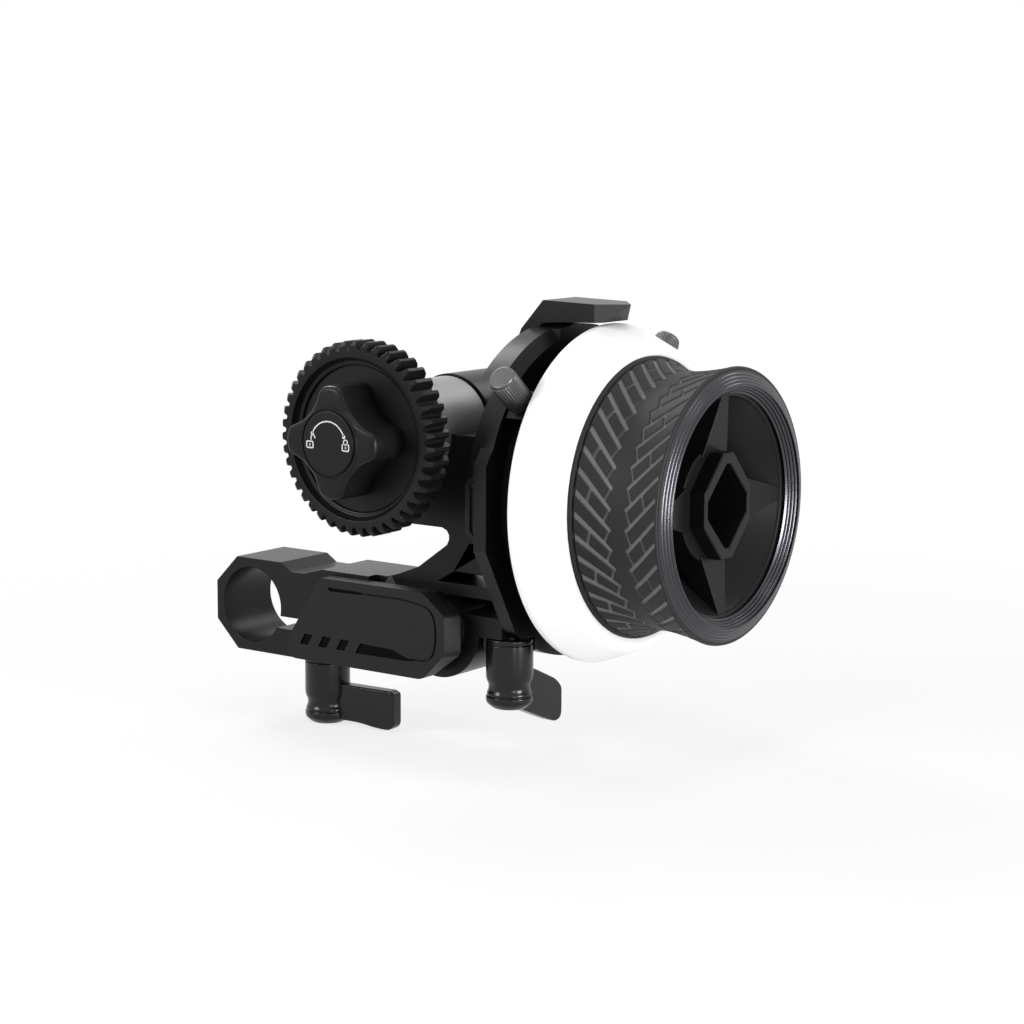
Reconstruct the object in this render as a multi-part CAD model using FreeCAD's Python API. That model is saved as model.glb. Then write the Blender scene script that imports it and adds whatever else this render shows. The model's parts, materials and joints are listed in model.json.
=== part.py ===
import FreeCAD, Part
import math
import os

# Follow focus unit for 15 mm rods, in millimetres.
# Origin: centre of the rod bore. +X points along the handwheel axis to the operator,
# +Y runs along the rod and the drive gear's axis, +Z is up.

# rod clamp and arm
ROD_R = 7.5                # clamp bore for a 15 mm rod
CLAMP_DEPTH = 14.0         # clamp and arm width along the rod
CLAMP_WALL = 1.8           # metal between the bore and the clamp's flats
ROD_SLIT = 2.4             # gap between the two clamp jaws
ROD_SLIT_TOP = -1.5
ROD_LEVER_X = 13.5         # clamp screw, from the bore's axis
JAW_REACH = 6.0            # lower jaw beyond the clamp screw
ARM_STEP_X = 10.2          # clamp top slopes down to the arm here
ARM_TOP = 7.7
ARM_RAMP = (13.5, 18.2)    # ramp up to the arm's raised end
ARM_HIGH_TOP = 9.0
ARM_BOTTOM = -7.6
NEST_GAP = 0.4             # arm's hollow end, clear of the swinging clamp

# arm's end plate, its cover and the swing spigot
PIVOT_X = 44.5
PIVOT_Z = 0.3
SPIGOT_R = 6.0
SPIGOT_LENGTH = 12.1       # spigot, from the end plate to its washer
END_PLATE = 2.4            # thickness of the arm's end plate
END_REACH = 6.1            # end plate beyond the pivot's axis
COVER_THICK = 3.5
COVER_TOP = 8.2
COVER_BOTTOM = -8.4
COVER_LEFT = 12.2
COVER_CORNER = 5.2         # octagon corners at the cover's outer end
COVER_SLANT = 8.6          # how far the inner end leans over
COVER_LIP = 0.6            # cover beyond the plate behind it
SPIGOT_WASHER_R = 8.6
SPIGOT_WASHER_THICK = 0.9
SPIGOT_HEAD_R = 3.5
SPIGOT_HEAD = 2.2
SPIGOT_GRIP = 6.0          # spigot screw's thread

# drive gear and its axis
GEAR_MODULE = 0.8
GEAR_TEETH = 43
GEAR_X = 38.1
GEAR_Z = 37.3
GEAR_FRONT = -21.3
GEAR_WIDTH = 6.4
RIM_IN_R = 15.0            # inner edge of the gear's toothed rim
WEB_SINK = 1.9             # gear's web below its rim
OUTPUT_R = 3.0             # output shaft
SEAT_R = 8.5               # flange that the gear sits on
SEAT_THICK = 1.8
GEAR_BORE_R = 5.0
KNOB_STUD_R = 2.5
KNOB_FRONT = -28.5
KNOB_R = 10.4              # lobe tips of the gear lock knob
KNOB_HUB_R = 6.4
KNOB_LOBE_R = 3.3
KNOB_LIFT = 0.4            # knob's back, above the gear's web

# bright bearing sleeve
SLEEVE_R = 9.4
SLEEVE_END = 7.4
SLEEVE_SPIGOT = 2.0        # sleeve's tail inside the housing
SLEEVE_SPIGOT_R = 8.0
SLEEVE_GAP = 0.4           # between the gear and the sleeve
BALL_RACE_R = 6.5          # outside of the output bearings
BALL_RACE_WIDTH = 4.0

# gear train in the housing
WHEEL_Y = 16.4             # handwheel axis
WHEEL_Z = 25.8
SPUR_MODULE = 0.5
SPUR_TEETH = 23
SPUR_X = 48.6
SPUR_WIDTH = 4.0
MITRE_MODULE = 0.7
MITRE_TEETH = 14
MITRE_FACE = 2.2
LAY_R = 2.0                # lay shaft between the spur and mitre pairs
LAY_BUSH = 3.4             # length of the lay shaft's front bush
SHAFT_R = 4.0              # handwheel shaft
MITRE_HUB_R = 3.8
MITRE_HUB = 2.0            # length of the drive mitre gear's hub
LAY_RACE_R = 4.4           # lay shaft's rear bush
BACKLASH = 0.12
TOOTH_ROOM = 0.45          # around the gears in the housing

# housing
BLOCK_LEFT = 27.8
BLOCK_BOTTOM = 19.6
FRONT_Y = -4.2             # front faces of the block, strut and swing clamp
COLLAR_R = 9.8             # round housing behind the bright sleeve
COLLAR_START = 7.8
COLLAR_END = 24.4
CAP_THICK = 3.0
CAP_ROOM = 5.0             # housing cut away beside the end cap, from its axis
DISC_R = 31.5              # round plate behind the handwheel
DISC_FACE = 62.0
DISC_THICK = 2.8
DRUM_DEPTH = 6.7           # plate's thick upper part
DRUM_LEVEL = 22.8          # above the wheel's axis
RIM_BEVEL = 2.0            # bevel on the thick part's front edge
BAND_R = 29.2              # plate's edge between its thick part and the plaque
BAND_WIDTH = 3.6
TRIM_ANGLE = 230           # the plate is trimmed straight from the plaque to here
FLAT_CUT = 2.1             # plate's flat, inside its round edge
PLAQUE_DEPTH = 4.7
PLAQUE_LOW = 17.8
PLAQUE_HIGH = 33.4
PLAQUE_SLANT = 3.2         # its ends lean towards each other
PLAQUE_BORDER = 1.0
PLAQUE_SINK = 0.5
HOUSING_WALL = 1.6

# swing clamp under the housing
SWING_RING_R = 9.4
SWING_END = 7.2
SLIT_LOW = 3.7             # slit between the lug and the strap
SLIT_HIGH = 7.0
STRAP_TOP = 9.3
LUG_BOTTOM = -0.2
STRAP_BACK = 5.0
STRAP_REACH = 2.7          # strap beyond the clamp screw
STRAP_ROOM = 0.3           # strap is free of the round plate
SWING_LEVER_X = 58.0
FOOT_X = 33.2
FOOT_Z = 9.0
STRUT_WIDTH = 11.0         # strut's foot along X
STRUT_TOP_X = 46.9

# levers
LEVER_R = 4.45
LEVER_HEIGHT = 13.3
LEVER_NECK_R = 3.9
LEVER_FLANGE = 3.6
BLADE_REACH = 17.2         # rod lever's blade
SWING_BLADE_REACH = 15.4   # swing lever's, which leans down
ROD_BLADE_TURN = 2.0      # rod lever's blade as it rests, from +X
BLADE_THICK = 2.6
BLADE_HEIGHT = 8.0
STUD_R = 2.0
CAP_SEAT = 1.6             # cap's recess in the lever's foot
ROD_STUD_TOP = 5.0         # upper end of the rod clamp's screw
LEVER_GAP = 0.2

# hard stops
TRACK_WIDTH = 5.6
TRACK_SCREW_R = 1.25
TRACK_SCREW_INSET = 8.0    # track screws inside the track's edge
RACE_R = 8.0               # outside of the handwheel's front bearing
RACE_WIDTH = 4.6
TAIL_R = 2.5               # handwheel shaft's rear journal
TAIL_RACE_R = 5.0
TAIL_RACE_WIDTH = 3.0
STOP_PLANE = 3.0           # thumb screws, in front of the round plate
STOP_A_ANGLE = 140.5       # round the wheel's axis, from +Y towards +Z
STOP_B_ANGLE = 46.0
STOP_ARC = 12.4            # degrees that a stop block covers
STOP_HEIGHT = 4.0
THUMB_R = 2.6
THUMB_GAP = 0.65           # thumb screw's head above its stop block
THUMB_HEIGHT = 8.0
THUMB_SHANK_R = 1.25
DOG_R = 1.5
DOG_ROOM = 1.3             # between the dog pin and the marking ring's wall
DOG_RISE = 2.4             # dog pin's axis above the track

# handwheel
RING_GAP = 0.8             # between the stop track and the marking ring
RING_OVERHANG = 0.4        # marking ring beyond the round plate
RING_LENGTH = 9.3
RING_SLOPE = 3.7           # how far the ring's cone falls to its front
RING_WALL = 1.7
CARRIER_THICK = 2.0
RING_LIP = 1.9             # ring's front face, from its edge to its bore
GRIP_WAIST_IN = 7.8        # waist's place in front of the marking ring
GRIP_WAIST = 2.3           # waist's depth below the rear edge
GRIP_LENGTH = 17.8         # from the marking ring to the grip's front edge
GRIP_FLARE = 1.5           # front edge above the waist
GRIP_STEP = 1.2            # grip's bore steps out at the bezel's seat
BEZEL_INSET = 1.1          # core's front edge, where the bezel ring sits, behind the grip's
BEZEL_SINK = 0.6           # bezel's edge below the grip's
BEZEL_LIP = 1.9            # bezel's edge beyond its seat
BEZEL_RISE = 1.7           # bezel's crest in front of the grip's edge
BEZEL_FALL_OUT = 2.6       # bezel's outer slope
BEZEL_FALL_IN = 1.7        # and its inner one
BEZEL_RIDGES = 3           # on each slope of the ring
DISH_STEP = 0.6            # dish's edge inside the bezel
DISH_FLOOR_R = 11.0
DISH_DEPTH = 9.4
HUB_R = 9.9
HUB_RISE = 0.6             # hub in front of the core's edge
SOCKET_HALF_DIAGONAL = 8.4
SOCKET_TALL = 7.75         # socket's trimmed corners, up and down
SOCKET_WIDE = 6.85         # and to the sides
SOCKET_DEPTH = 11.0
WEB_UNDER_SOCKET = 2.0     # hub floor that the retaining screw holds
WHEEL_SCREW_R = 1.5
WHEEL_SCREW_HEAD = 3.0

# index hood
HOOD_WIDTH = 10.8
HOOD_ROOF = 3.7            # hood's thickness over the marking ring
HOOD_BROW = 8.8            # hood's straight back ends below its top
HOOD_CROWN = 5.6           # its steep bevel ends
HOOD_FOOT_GAP = 1.9        # hood's lower edge above the plate's thick part
HOOD_REACH = 5.0           # hood's tip in front of the marking ring's rear
HOOD_NOSE = 4.5            # length of its pointed nose
HOOD_GAP = 0.4             # hood above the marking ring
HOOD_THICK_X = 4.2
HOOD_SCREW_R = 1.0
HOOD_SCREW_HEAD_R = 1.5
HOOD_SCREW_SINK = 1.8
HOOD_SCREW_GRIP = 3.5      # hood screws' hold in the round plate

RUN = 0.05                 # radial clearance of a running fit
SEAM = 0.02                # slip between pieces that are screwed together

CLAMP_FLAT = ROD_R + CLAMP_WALL
ARM_FRONT = -CLAMP_DEPTH / 2
ARM_BACK = CLAMP_DEPTH / 2
PLATE_BACK = ARM_FRONT + END_PLATE
COVER_RIGHT = PIVOT_X + END_REACH
GEAR_BACK = GEAR_FRONT + GEAR_WIDTH
GEAR_R = GEAR_MODULE * (GEAR_TEETH + 2) / 2
WEB_FRONT = GEAR_FRONT + WEB_SINK
SLEEVE_FRONT = GEAR_BACK + SLEEVE_GAP
SLEEVE_TAIL = SLEEVE_END + SLEEVE_SPIGOT
SPUR_DISTANCE = SPUR_MODULE * SPUR_TEETH
LAY_Z = WHEEL_Z + SPUR_DISTANCE
SPUR_TIP_R = SPUR_MODULE * (SPUR_TEETH + 2) / 2
WELL_R = SPUR_TIP_R + TOOTH_ROOM
MITRE_R = MITRE_MODULE * MITRE_TEETH / 2
CHAMBER_R = COLLAR_R - 1.3
DISC_REAR = DISC_FACE - DISC_THICK
PLAQUE_REAR = DISC_FACE - PLAQUE_DEPTH
STRAP_END = SWING_LEVER_X + STRAP_REACH
TAIL_START = SPUR_X - TOOTH_ROOM - 0.3 - TAIL_RACE_WIDTH
LAY_BUSH_START = SPUR_X + SPUR_WIDTH + 0.6
RACE_START = DISC_FACE + 0.2
STOP_X = DISC_FACE + STOP_PLANE
TRACK_FACE = DISC_FACE + TRACK_WIDTH
RING_REAR = TRACK_FACE + RING_GAP
RING_FRONT = RING_REAR + RING_LENGTH
GRIP_WAIST_X = RING_FRONT + GRIP_WAIST_IN
GRIP_END = RING_FRONT + GRIP_LENGTH
BEZEL_SEAT = GRIP_END - BEZEL_INSET
BEZEL_FRONT = GRIP_END + BEZEL_RISE
DISH_FLOOR = BEZEL_SEAT - DISH_DEPTH
HUB_FRONT = BEZEL_SEAT + HUB_RISE
SHAFT_END = HUB_FRONT - SOCKET_DEPTH - WEB_UNDER_SOCKET
HOOD_TIP_X = RING_REAR + HOOD_REACH
HOOD_FACET_X = HOOD_TIP_X - HOOD_NOSE
DRUM_REAR = DISC_FACE - DRUM_DEPTH
FLAT_Y = WHEEL_Y - DISC_R + FLAT_CUT
RING_R = DISC_R + RING_OVERHANG
RING_FRONT_R = RING_R - RING_SLOPE
GRIP_BEAD_R = RING_FRONT_R - RING_LIP
GRIP_WAIST_R = GRIP_BEAD_R - GRIP_WAIST
GRIP_END_R = GRIP_WAIST_R + GRIP_FLARE
BEZEL_R = GRIP_END_R - BEZEL_SINK
BEZEL_SEAT_R = BEZEL_R - BEZEL_LIP
BEZEL_CREST_R = BEZEL_R - BEZEL_FALL_OUT
BEZEL_IN_R = BEZEL_CREST_R - BEZEL_FALL_IN
GRIP_IN_R = BEZEL_SEAT_R - GRIP_STEP
DISH_R = BEZEL_IN_R - DISH_STEP
DOG_CIRCLE = RING_R - RING_WALL - DOG_R - DOG_ROOM
TRACK_R = DOG_CIRCLE - DOG_RISE
THUMB_BOTTOM = TRACK_R + RUN + STOP_HEIGHT + THUMB_GAP
HOOD_UNDER = WHEEL_Z + RING_R + HOOD_GAP
HOOD_TOP = HOOD_UNDER + HOOD_ROOF
NEST_R = math.hypot(PIVOT_X - FOOT_X, FOOT_Z - PIVOT_Z) + NEST_GAP
JAW_BOTTOM = -CLAMP_FLAT
ROD_LEVER_TOP = JAW_BOTTOM - LEVER_GAP
SWING_LEVER_TOP = LUG_BOTTOM - LEVER_GAP
CARRIER_REAR = RING_REAR + 0.2
CORE_REAR = CARRIER_REAR + CARRIER_THICK
AXES = {"x": (1, 0, 0), "y": (0, 1, 0), "z": (0, 0, 1)}


def vec(x, y, z):
    return FreeCAD.Vector(x, y, z)


def at(axis, start, pair):
    """A point at start along the axis, and at pair in the other two directions in order."""
    first, second = pair
    return {"x": vec(start, first, second), "y": vec(first, start, second),
            "z": vec(first, second, start)}[axis]


def rod(axis, pair, radius, start, end):
    return Part.makeCylinder(radius, end - start, at(axis, start, pair), vec(*AXES[axis]))


def tube(axis, pair, outer, inner, start, end):
    return rod(axis, pair, outer, start, end).cut(rod(axis, pair, inner, start - 1, end + 1))


def box(low, high):
    size = [high[i] - low[i] for i in range(3)]
    return Part.makeBox(*size, vec(*low))


def prism(axis, outline, start, end):
    """An outline in the two other directions, drawn out along the axis."""
    points = [at(axis, start, pair) for pair in outline]
    face = Part.Face(Part.makePolygon(points + points[:1]))
    return face.extrude(vec(*AXES[axis]) * (end - start))


def turned(axis, pair, profile):
    """A solid of revolution from (place along the axis, radius) points."""
    sideways = {"x": (0, 1), "y": (1, 0), "z": (1, 0)}[axis]
    points = []
    for place, radius in profile:
        points.append(at(axis, place, (pair[0] + sideways[0] * radius, pair[1] + sideways[1] * radius)))
    face = Part.Face(Part.makePolygon(points + points[:1]))
    return face.revolve(at(axis, 0, pair), vec(*AXES[axis]), 360)


def joined(shapes):
    result = shapes[0]
    for shape in shapes[1:]:
        result = result.fuse(shape)
    return result.removeSplitter()


def less(shape, cutters):
    for cutter in cutters:
        shape = shape.cut(cutter)
    return shape


def turn(shape, axis, pair, degrees):
    return shape.rotated(at(axis, 0, pair), vec(*AXES[axis]), degrees)


def tooth_outline(module, teeth, start_angle, addendum=1.0, dedendum=1.2):
    """A closed gear outline round (0, 0), one tooth centred on start_angle."""
    pitch_r = module * teeth / 2
    base_r = pitch_r * math.cos(math.radians(20))
    root_r = pitch_r - dedendum * module
    tip_r = pitch_r + addendum * module
    low_r = max(base_r, root_r + 0.25 * module)
    flank = [low_r, (low_r + pitch_r) / 2, pitch_r, (pitch_r + tip_r) / 2, tip_r]
    pitch_half = math.pi / (2 * teeth) - BACKLASH / 2 / pitch_r
    spread = math.tan(math.radians(20)) - math.radians(20)
    halves = []
    for radius in flank:
        roll = math.acos(min(1.0, base_r / radius))
        halves.append(pitch_half + spread - (math.tan(roll) - roll))
    root_half = halves[0] + 0.12 * module / root_r
    points = []
    for number in range(teeth):
        middle = math.radians(start_angle) + 2 * math.pi * number / teeth
        left = [(root_r, -root_half)] + [(r, -half) for r, half in zip(flank, halves)]
        right = [(r, half) for r, half in reversed(list(zip(flank, halves)))] + [(root_r, root_half)]
        points += [(r * math.cos(middle + a), r * math.sin(middle + a)) for r, a in left + right]
    return points


def spur_gear(axis, pair, module, teeth, start_angle, start, end):
    outline = tooth_outline(module, teeth, start_angle)
    return prism(axis, [(pair[0] + u, pair[1] + v) for u, v in outline], start, end)


def mitre_gear(axis, apex, side, start_angle):
    """A 45 degree bevel gear whose teeth run to the apex; side is where it lies on its axis."""
    outline = tooth_outline(MITRE_MODULE, MITRE_TEETH, start_angle, 0.8, 1.1)
    place = {"x": apex.x, "y": apex.y}[axis]
    pair = {"x": (apex.y, apex.z), "y": (apex.x, apex.z)}[axis]
    wires = []
    for distance in (MITRE_R, MITRE_R - MITRE_FACE * math.sin(math.radians(45))):
        share = distance / MITRE_R
        points = [at(axis, place + side * distance, (pair[0] + u * share, pair[1] + v * share))
                  for u, v in outline]
        wires.append(Part.makePolygon(points + points[:1]))
    return Part.makeLoft(wires, True, True)


def hexagon(axis, pair, across, start, end, bore=0.0):
    corner = across / math.sqrt(3)
    outline = [(pair[0] + corner * math.cos(math.radians(60 * k)),
                pair[1] + corner * math.sin(math.radians(60 * k))) for k in range(6)]
    solid = prism(axis, outline, start, end)
    return solid.cut(rod(axis, pair, bore, start - 1, end + 1)) if bore else solid


def cap_screw(axis, pair, shank_r, head_r, head_start, head_end, tip):
    """A socket head screw; the head runs from head_start to head_end, the shank on to tip."""
    inner = min((head_start, head_end), key=lambda place: abs(place - tip))
    outer = head_start + head_end - inner
    head = rod(axis, pair, head_r, min(inner, outer), max(inner, outer))
    shank = rod(axis, pair, shank_r, min(inner, tip), max(inner, tip))
    depth = abs(head_end - head_start) * 0.55
    low = outer - depth if outer > inner else outer
    socket = hexagon(axis, pair, head_r, low, low + depth)
    return joined([head, shank]).cut(socket)


WHEEL = (WHEEL_Y, WHEEL_Z)
LAY = (WHEEL_Y, LAY_Z)
OUTPUT = (GEAR_X, GEAR_Z)
PIVOT = (PIVOT_X, PIVOT_Z)
APEX = vec(GEAR_X, WHEEL_Y, LAY_Z)
COVER_SCREWS = ((24.5, 1.0), (35.5, 0.5))
COVER_SCREW_R = 1.0


def octagon(reach):
    corner = reach * math.tan(math.radians(22.5))
    return [(corner, reach), (reach, corner), (reach, -corner), (corner, -reach),
            (-corner, -reach), (-reach, -corner), (-reach, corner), (-corner, reach)]


def end_outline(inset):
    """Cover and end plate seen from the front; inset shrinks it all round."""
    right = COVER_RIGHT - inset
    top = COVER_TOP - inset
    bottom = COVER_BOTTOM + inset
    corner = COVER_CORNER
    left = COVER_LEFT + inset
    return [(left + 1.2, bottom), (left, bottom + 1.4), (left, bottom + 4.4),
            (left + COVER_SLANT, top), (right - corner, top), (right, top - corner),
            (right, bottom + corner), (right - corner, bottom)]


def rod_clamp_arm():
    flat = CLAMP_FLAT
    ring = prism("y", octagon(flat), ARM_FRONT, ARM_BACK)
    jaw_end = ROD_LEVER_X + JAW_REACH
    top = [(0, flat), (7.7, flat), (ARM_STEP_X, ARM_TOP), (ARM_RAMP[0], ARM_TOP),
           (ARM_RAMP[1], ARM_HIGH_TOP), (PIVOT_X, ARM_HIGH_TOP), (PIVOT_X, ARM_BOTTOM),
           (jaw_end + 1.0, ARM_BOTTOM), (jaw_end + 1.0, ROD_SLIT_TOP), (0, ROD_SLIT_TOP)]
    upper = prism("y", top, ARM_FRONT, ARM_BACK)
    jaw_top = ROD_SLIT_TOP - ROD_SLIT
    lower = box((0, ARM_FRONT, JAW_BOTTOM), (jaw_end, ARM_BACK, jaw_top))
    nest = rod("y", PIVOT, NEST_R, PLATE_BACK, ARM_BACK + 1)
    past_nest = box((PIVOT_X - 1, PLATE_BACK, -20), (PIVOT_X + 20, ARM_BACK + 1, 20))
    plate = prism("y", end_outline(COVER_LIP), ARM_FRONT, PLATE_BACK)
    plate = plate.cut(box((0, ARM_FRONT - 1, -20), (jaw_end + 1.0, PLATE_BACK + 1, 20)))
    front_trim = box((PIVOT_X - NEST_R, ARM_FRONT - 1, COVER_TOP - COVER_LIP),
                     (PIVOT_X + 1, PLATE_BACK, 20))
    body = joined([less(joined([ring, upper, lower]), [nest, past_nest, front_trim]), plate])
    slit = box((0, ARM_FRONT - 1, jaw_top), (jaw_end + 0.95, ARM_BACK + 1, ROD_SLIT_TOP))
    cutters = [rod("y", (0, 0), ROD_R, ARM_FRONT - 1, ARM_BACK + 1), slit,
               rod("z", (ROD_LEVER_X, 0), STUD_R + RUN, -20, 5.4),
               rod("y", PIVOT, SPIGOT_R / 2, ARM_FRONT - 1, PLATE_BACK + 1)]
    cutters += [rod("y", place, COVER_SCREW_R, ARM_FRONT - 1, ARM_FRONT + 2.0) for place in COVER_SCREWS]
    return less(body, cutters)


def arm_cover():
    front = ARM_FRONT - COVER_THICK
    plate = prism("y", end_outline(0), front, ARM_FRONT)
    groove = prism("y", end_outline(2.2), front - 1, front + 0.4).cut(
        prism("y", end_outline(2.6), front - 2, front + 1))
    bosses = [rod("y", place, COVER_SCREW_R, ARM_FRONT - 2.0, ARM_FRONT + 1) for place in COVER_SCREWS]
    seat = rod("y", PIVOT, SPIGOT_R / 2 + 0.4, ARM_FRONT - 1.2, ARM_FRONT + 1)
    return less(plate, [groove, seat] + bosses)


def cover_screws():
    pins = [rod("y", place, COVER_SCREW_R, ARM_FRONT - 2.0, ARM_FRONT + 2.0) for place in COVER_SCREWS]
    return Part.makeCompound(pins)


def swing_spigot():
    tail = rod("y", PIVOT, SPIGOT_R / 2, ARM_FRONT, PLATE_BACK)
    barrel = rod("y", PIVOT, SPIGOT_R - RUN, PLATE_BACK, PLATE_BACK + SPIGOT_LENGTH)
    end = PLATE_BACK + SPIGOT_LENGTH
    thread = rod("y", PIVOT, STUD_R, end - SPIGOT_GRIP - 1, end + 1)
    return joined([tail, barrel]).cut(thread)


def spigot_washer():
    start = PLATE_BACK + SPIGOT_LENGTH
    return tube("y", PIVOT, SPIGOT_WASHER_R, STUD_R, start, start + SPIGOT_WASHER_THICK)


def spigot_screw():
    seat = PLATE_BACK + SPIGOT_LENGTH + SPIGOT_WASHER_THICK
    return cap_screw("y", PIVOT, STUD_R, SPIGOT_HEAD_R, seat, seat + SPIGOT_HEAD, seat - SPIGOT_GRIP)


def lever_handle(x, top, blade):
    """A clamp lever's turned body with its blade; z falls from top."""
    flange = top - LEVER_HEIGHT
    neck = flange + LEVER_FLANGE
    body = turned("z", (x, 0), [
        (top, 0), (top, LEVER_R - 0.5), (top - 0.5, LEVER_R), (neck + 1.9, LEVER_R),
        (neck + 0.9, LEVER_NECK_R), (neck, LEVER_NECK_R), (neck - 0.6, LEVER_R),
        (flange + 0.8, LEVER_R), (flange, LEVER_R - 0.9), (flange, 0)])
    cap_seat = rod("z", (x, 0), 2.9, flange - 1, flange + CAP_SEAT)
    stud = rod("z", (x, 0), STUD_R, flange - 1, top + 1)
    return less(joined([body, blade]), [cap_seat, stud])


def clamp_stud(x, low, high):
    return rod("z", (x, 0), STUD_R, low, high)


def lever_cap(x, top):
    flange = top - LEVER_HEIGHT
    disc = rod("z", (x, 0), 2.9, flange + 0.4, flange + CAP_SEAT)
    slot = box((x - 3, -0.4, flange), (x + 3, 0.4, flange + 0.9))
    return disc.cut(slot)


def rod_blade():
    low = ROD_LEVER_TOP - LEVER_HEIGHT
    outline = [(0, low + 0.6), (8.0, low + 0.9), (BLADE_REACH - 4.6, low + 0.3),
               (BLADE_REACH - 1.5, low + 0.3), (BLADE_REACH, low + 1.2),
               (BLADE_REACH, low + BLADE_HEIGHT - 0.4), (BLADE_REACH - 1.0, low + BLADE_HEIGHT + 0.1),
               (0, low + BLADE_HEIGHT)]
    moved = [(ROD_LEVER_X + u, z) for u, z in outline]
    blade = prism("y", moved, -BLADE_THICK / 2, BLADE_THICK / 2)
    return turn(blade, "z", (ROD_LEVER_X, 0), ROD_BLADE_TURN)


def swing_blade():
    low = SWING_LEVER_TOP - LEVER_HEIGHT
    reach = SWING_BLADE_REACH
    outline = [(0, low + 0.3), (3.2, low - 1.2), (6.5, low - 2.6), (reach - 5.0, low - 4.2),
               (reach - 2.2, low - 5.2), (reach - 0.9, low - 5.0), (reach, low - 4.2), (reach, low + 1.1),
               (reach - 0.8, low + 2.1), (reach - 2.1, low + 3.2), (6.1, low + BLADE_HEIGHT - 1.5),
               (0, low + BLADE_HEIGHT)]
    return prism("x", outline, SWING_LEVER_X - BLADE_THICK / 2, SWING_LEVER_X + BLADE_THICK / 2)


def disc_outline():
    """The round plate, trimmed towards the rods' front, and its thick upper part."""
    level = WHEEL_Z + DRUM_LEVEL
    rim = rod("x", WHEEL, DISC_R, DISC_REAR, DISC_FACE)
    drum = rod("x", WHEEL, DISC_R, DRUM_REAR, DISC_FACE)
    drum = drum.common(box((0, -100, level), (100, 100, 100)))
    hub = rod("x", WHEEL, 22.0, PLAQUE_REAR, DISC_FACE)
    band = tube("x", WHEEL, BAND_R, BAND_R - BAND_WIDTH, PLAQUE_REAR, DISC_FACE)
    band = band.common(box((0, -100, PLAQUE_HIGH - 4), (100, WHEEL_Y - 8, level + 1)))
    flat = box((0, -100, -100), (100, FLAT_Y, 100))
    trim_end = round_places(WHEEL, DISC_R, (TRIM_ANGLE,))[0]
    below = prism("x", [(FLAT_Y - 0.01, PLAQUE_LOW), trim_end, (trim_end[0] - 5, -20), (-60, -20),
                        (-60, PLAQUE_LOW)], 0, 100)
    start = FLAT_Y + 2.1
    foot = PLAQUE_HIGH + 2.9
    beside = prism("x", [(FLAT_Y - 0.01, PLAQUE_HIGH), (start, foot), (WHEEL_Y, foot), (WHEEL_Y, level),
                         (-60, level), (-60, PLAQUE_HIGH)], 0, 100)
    beside = beside.cut(rod("x", WHEEL, BAND_R, 0, 100))
    bevel = turned("x", WHEEL, [(DISC_FACE - RIM_BEVEL, DISC_R), (DISC_FACE + 0.1, DISC_R - RIM_BEVEL - 0.1),
                                (DISC_FACE + 0.1, DISC_R + 1), (DISC_FACE - RIM_BEVEL, DISC_R + 1)])
    half = HOOD_WIDTH / 2 + 1.0
    under_hood = box((0, WHEEL_Y - half, level), (100, WHEEL_Y + half, 100))
    bevel = bevel.common(box((0, -100, level), (100, 100, 100))).cut(under_hood)
    return less(joined([rim, drum, hub, band]), [flat, below, beside, bevel])


def plaque_boss():
    low, high = PLAQUE_LOW, PLAQUE_HIGH
    outline = [(FLAT_Y, low), (FLAT_Y, high), (FLAT_Y + 6, high + 2), (FLAT_Y + 10, high - 4),
               (FLAT_Y + 10, low + 4), (FLAT_Y + 6, low - 2)]
    boss = prism("x", outline, PLAQUE_REAR, DISC_FACE)

    def leaning(inset, start, end):
        rear, face, slant = PLAQUE_REAR + inset, DISC_FACE - inset, PLAQUE_SLANT * (1 - inset / PLAQUE_DEPTH)
        return prism("y", [(rear, low + slant + inset), (face, low + inset), (face, high - inset),
                           (rear, high - slant - inset)], start, end)

    face = leaning(0, FLAT_Y, FLAT_Y + 3)
    behind = box((PLAQUE_REAR, FLAT_Y + 3, low), (DISC_FACE, FLAT_Y + 10, high))
    return boss.common(joined([face, behind])).cut(leaning(PLAQUE_BORDER, FLAT_Y - 1, FLAT_Y + PLAQUE_SINK))


def swing_clamp():
    ring = rod("y", PIVOT, SWING_RING_R, FRONT_Y, SWING_END)
    flat_top = box((PIVOT_X - 1, FRONT_Y - 1, STRAP_TOP), (80, SWING_END + 1, 20))
    strap = box((PIVOT_X, FRONT_Y, SLIT_HIGH), (STRAP_END, STRAP_BACK, STRAP_TOP))
    lug = box((PIVOT_X + 3, FRONT_Y, LUG_BOTTOM), (DISC_REAR, STRAP_BACK, SLIT_LOW))
    foot = prism("y", [(FOOT_X, FOOT_Z), (PIVOT_X, STRAP_TOP), (PIVOT_X, PIVOT_Z + 3),
                       (PIVOT_X - 7.2, PIVOT_Z + 3)], FRONT_Y, SWING_END)
    body = joined([ring.cut(flat_top), strap, lug, foot])
    slit = box((PIVOT_X + 1.0, FRONT_Y - 1, SLIT_LOW), (80, SWING_END + 1, SLIT_HIGH))
    return body.cut(slit)


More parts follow.
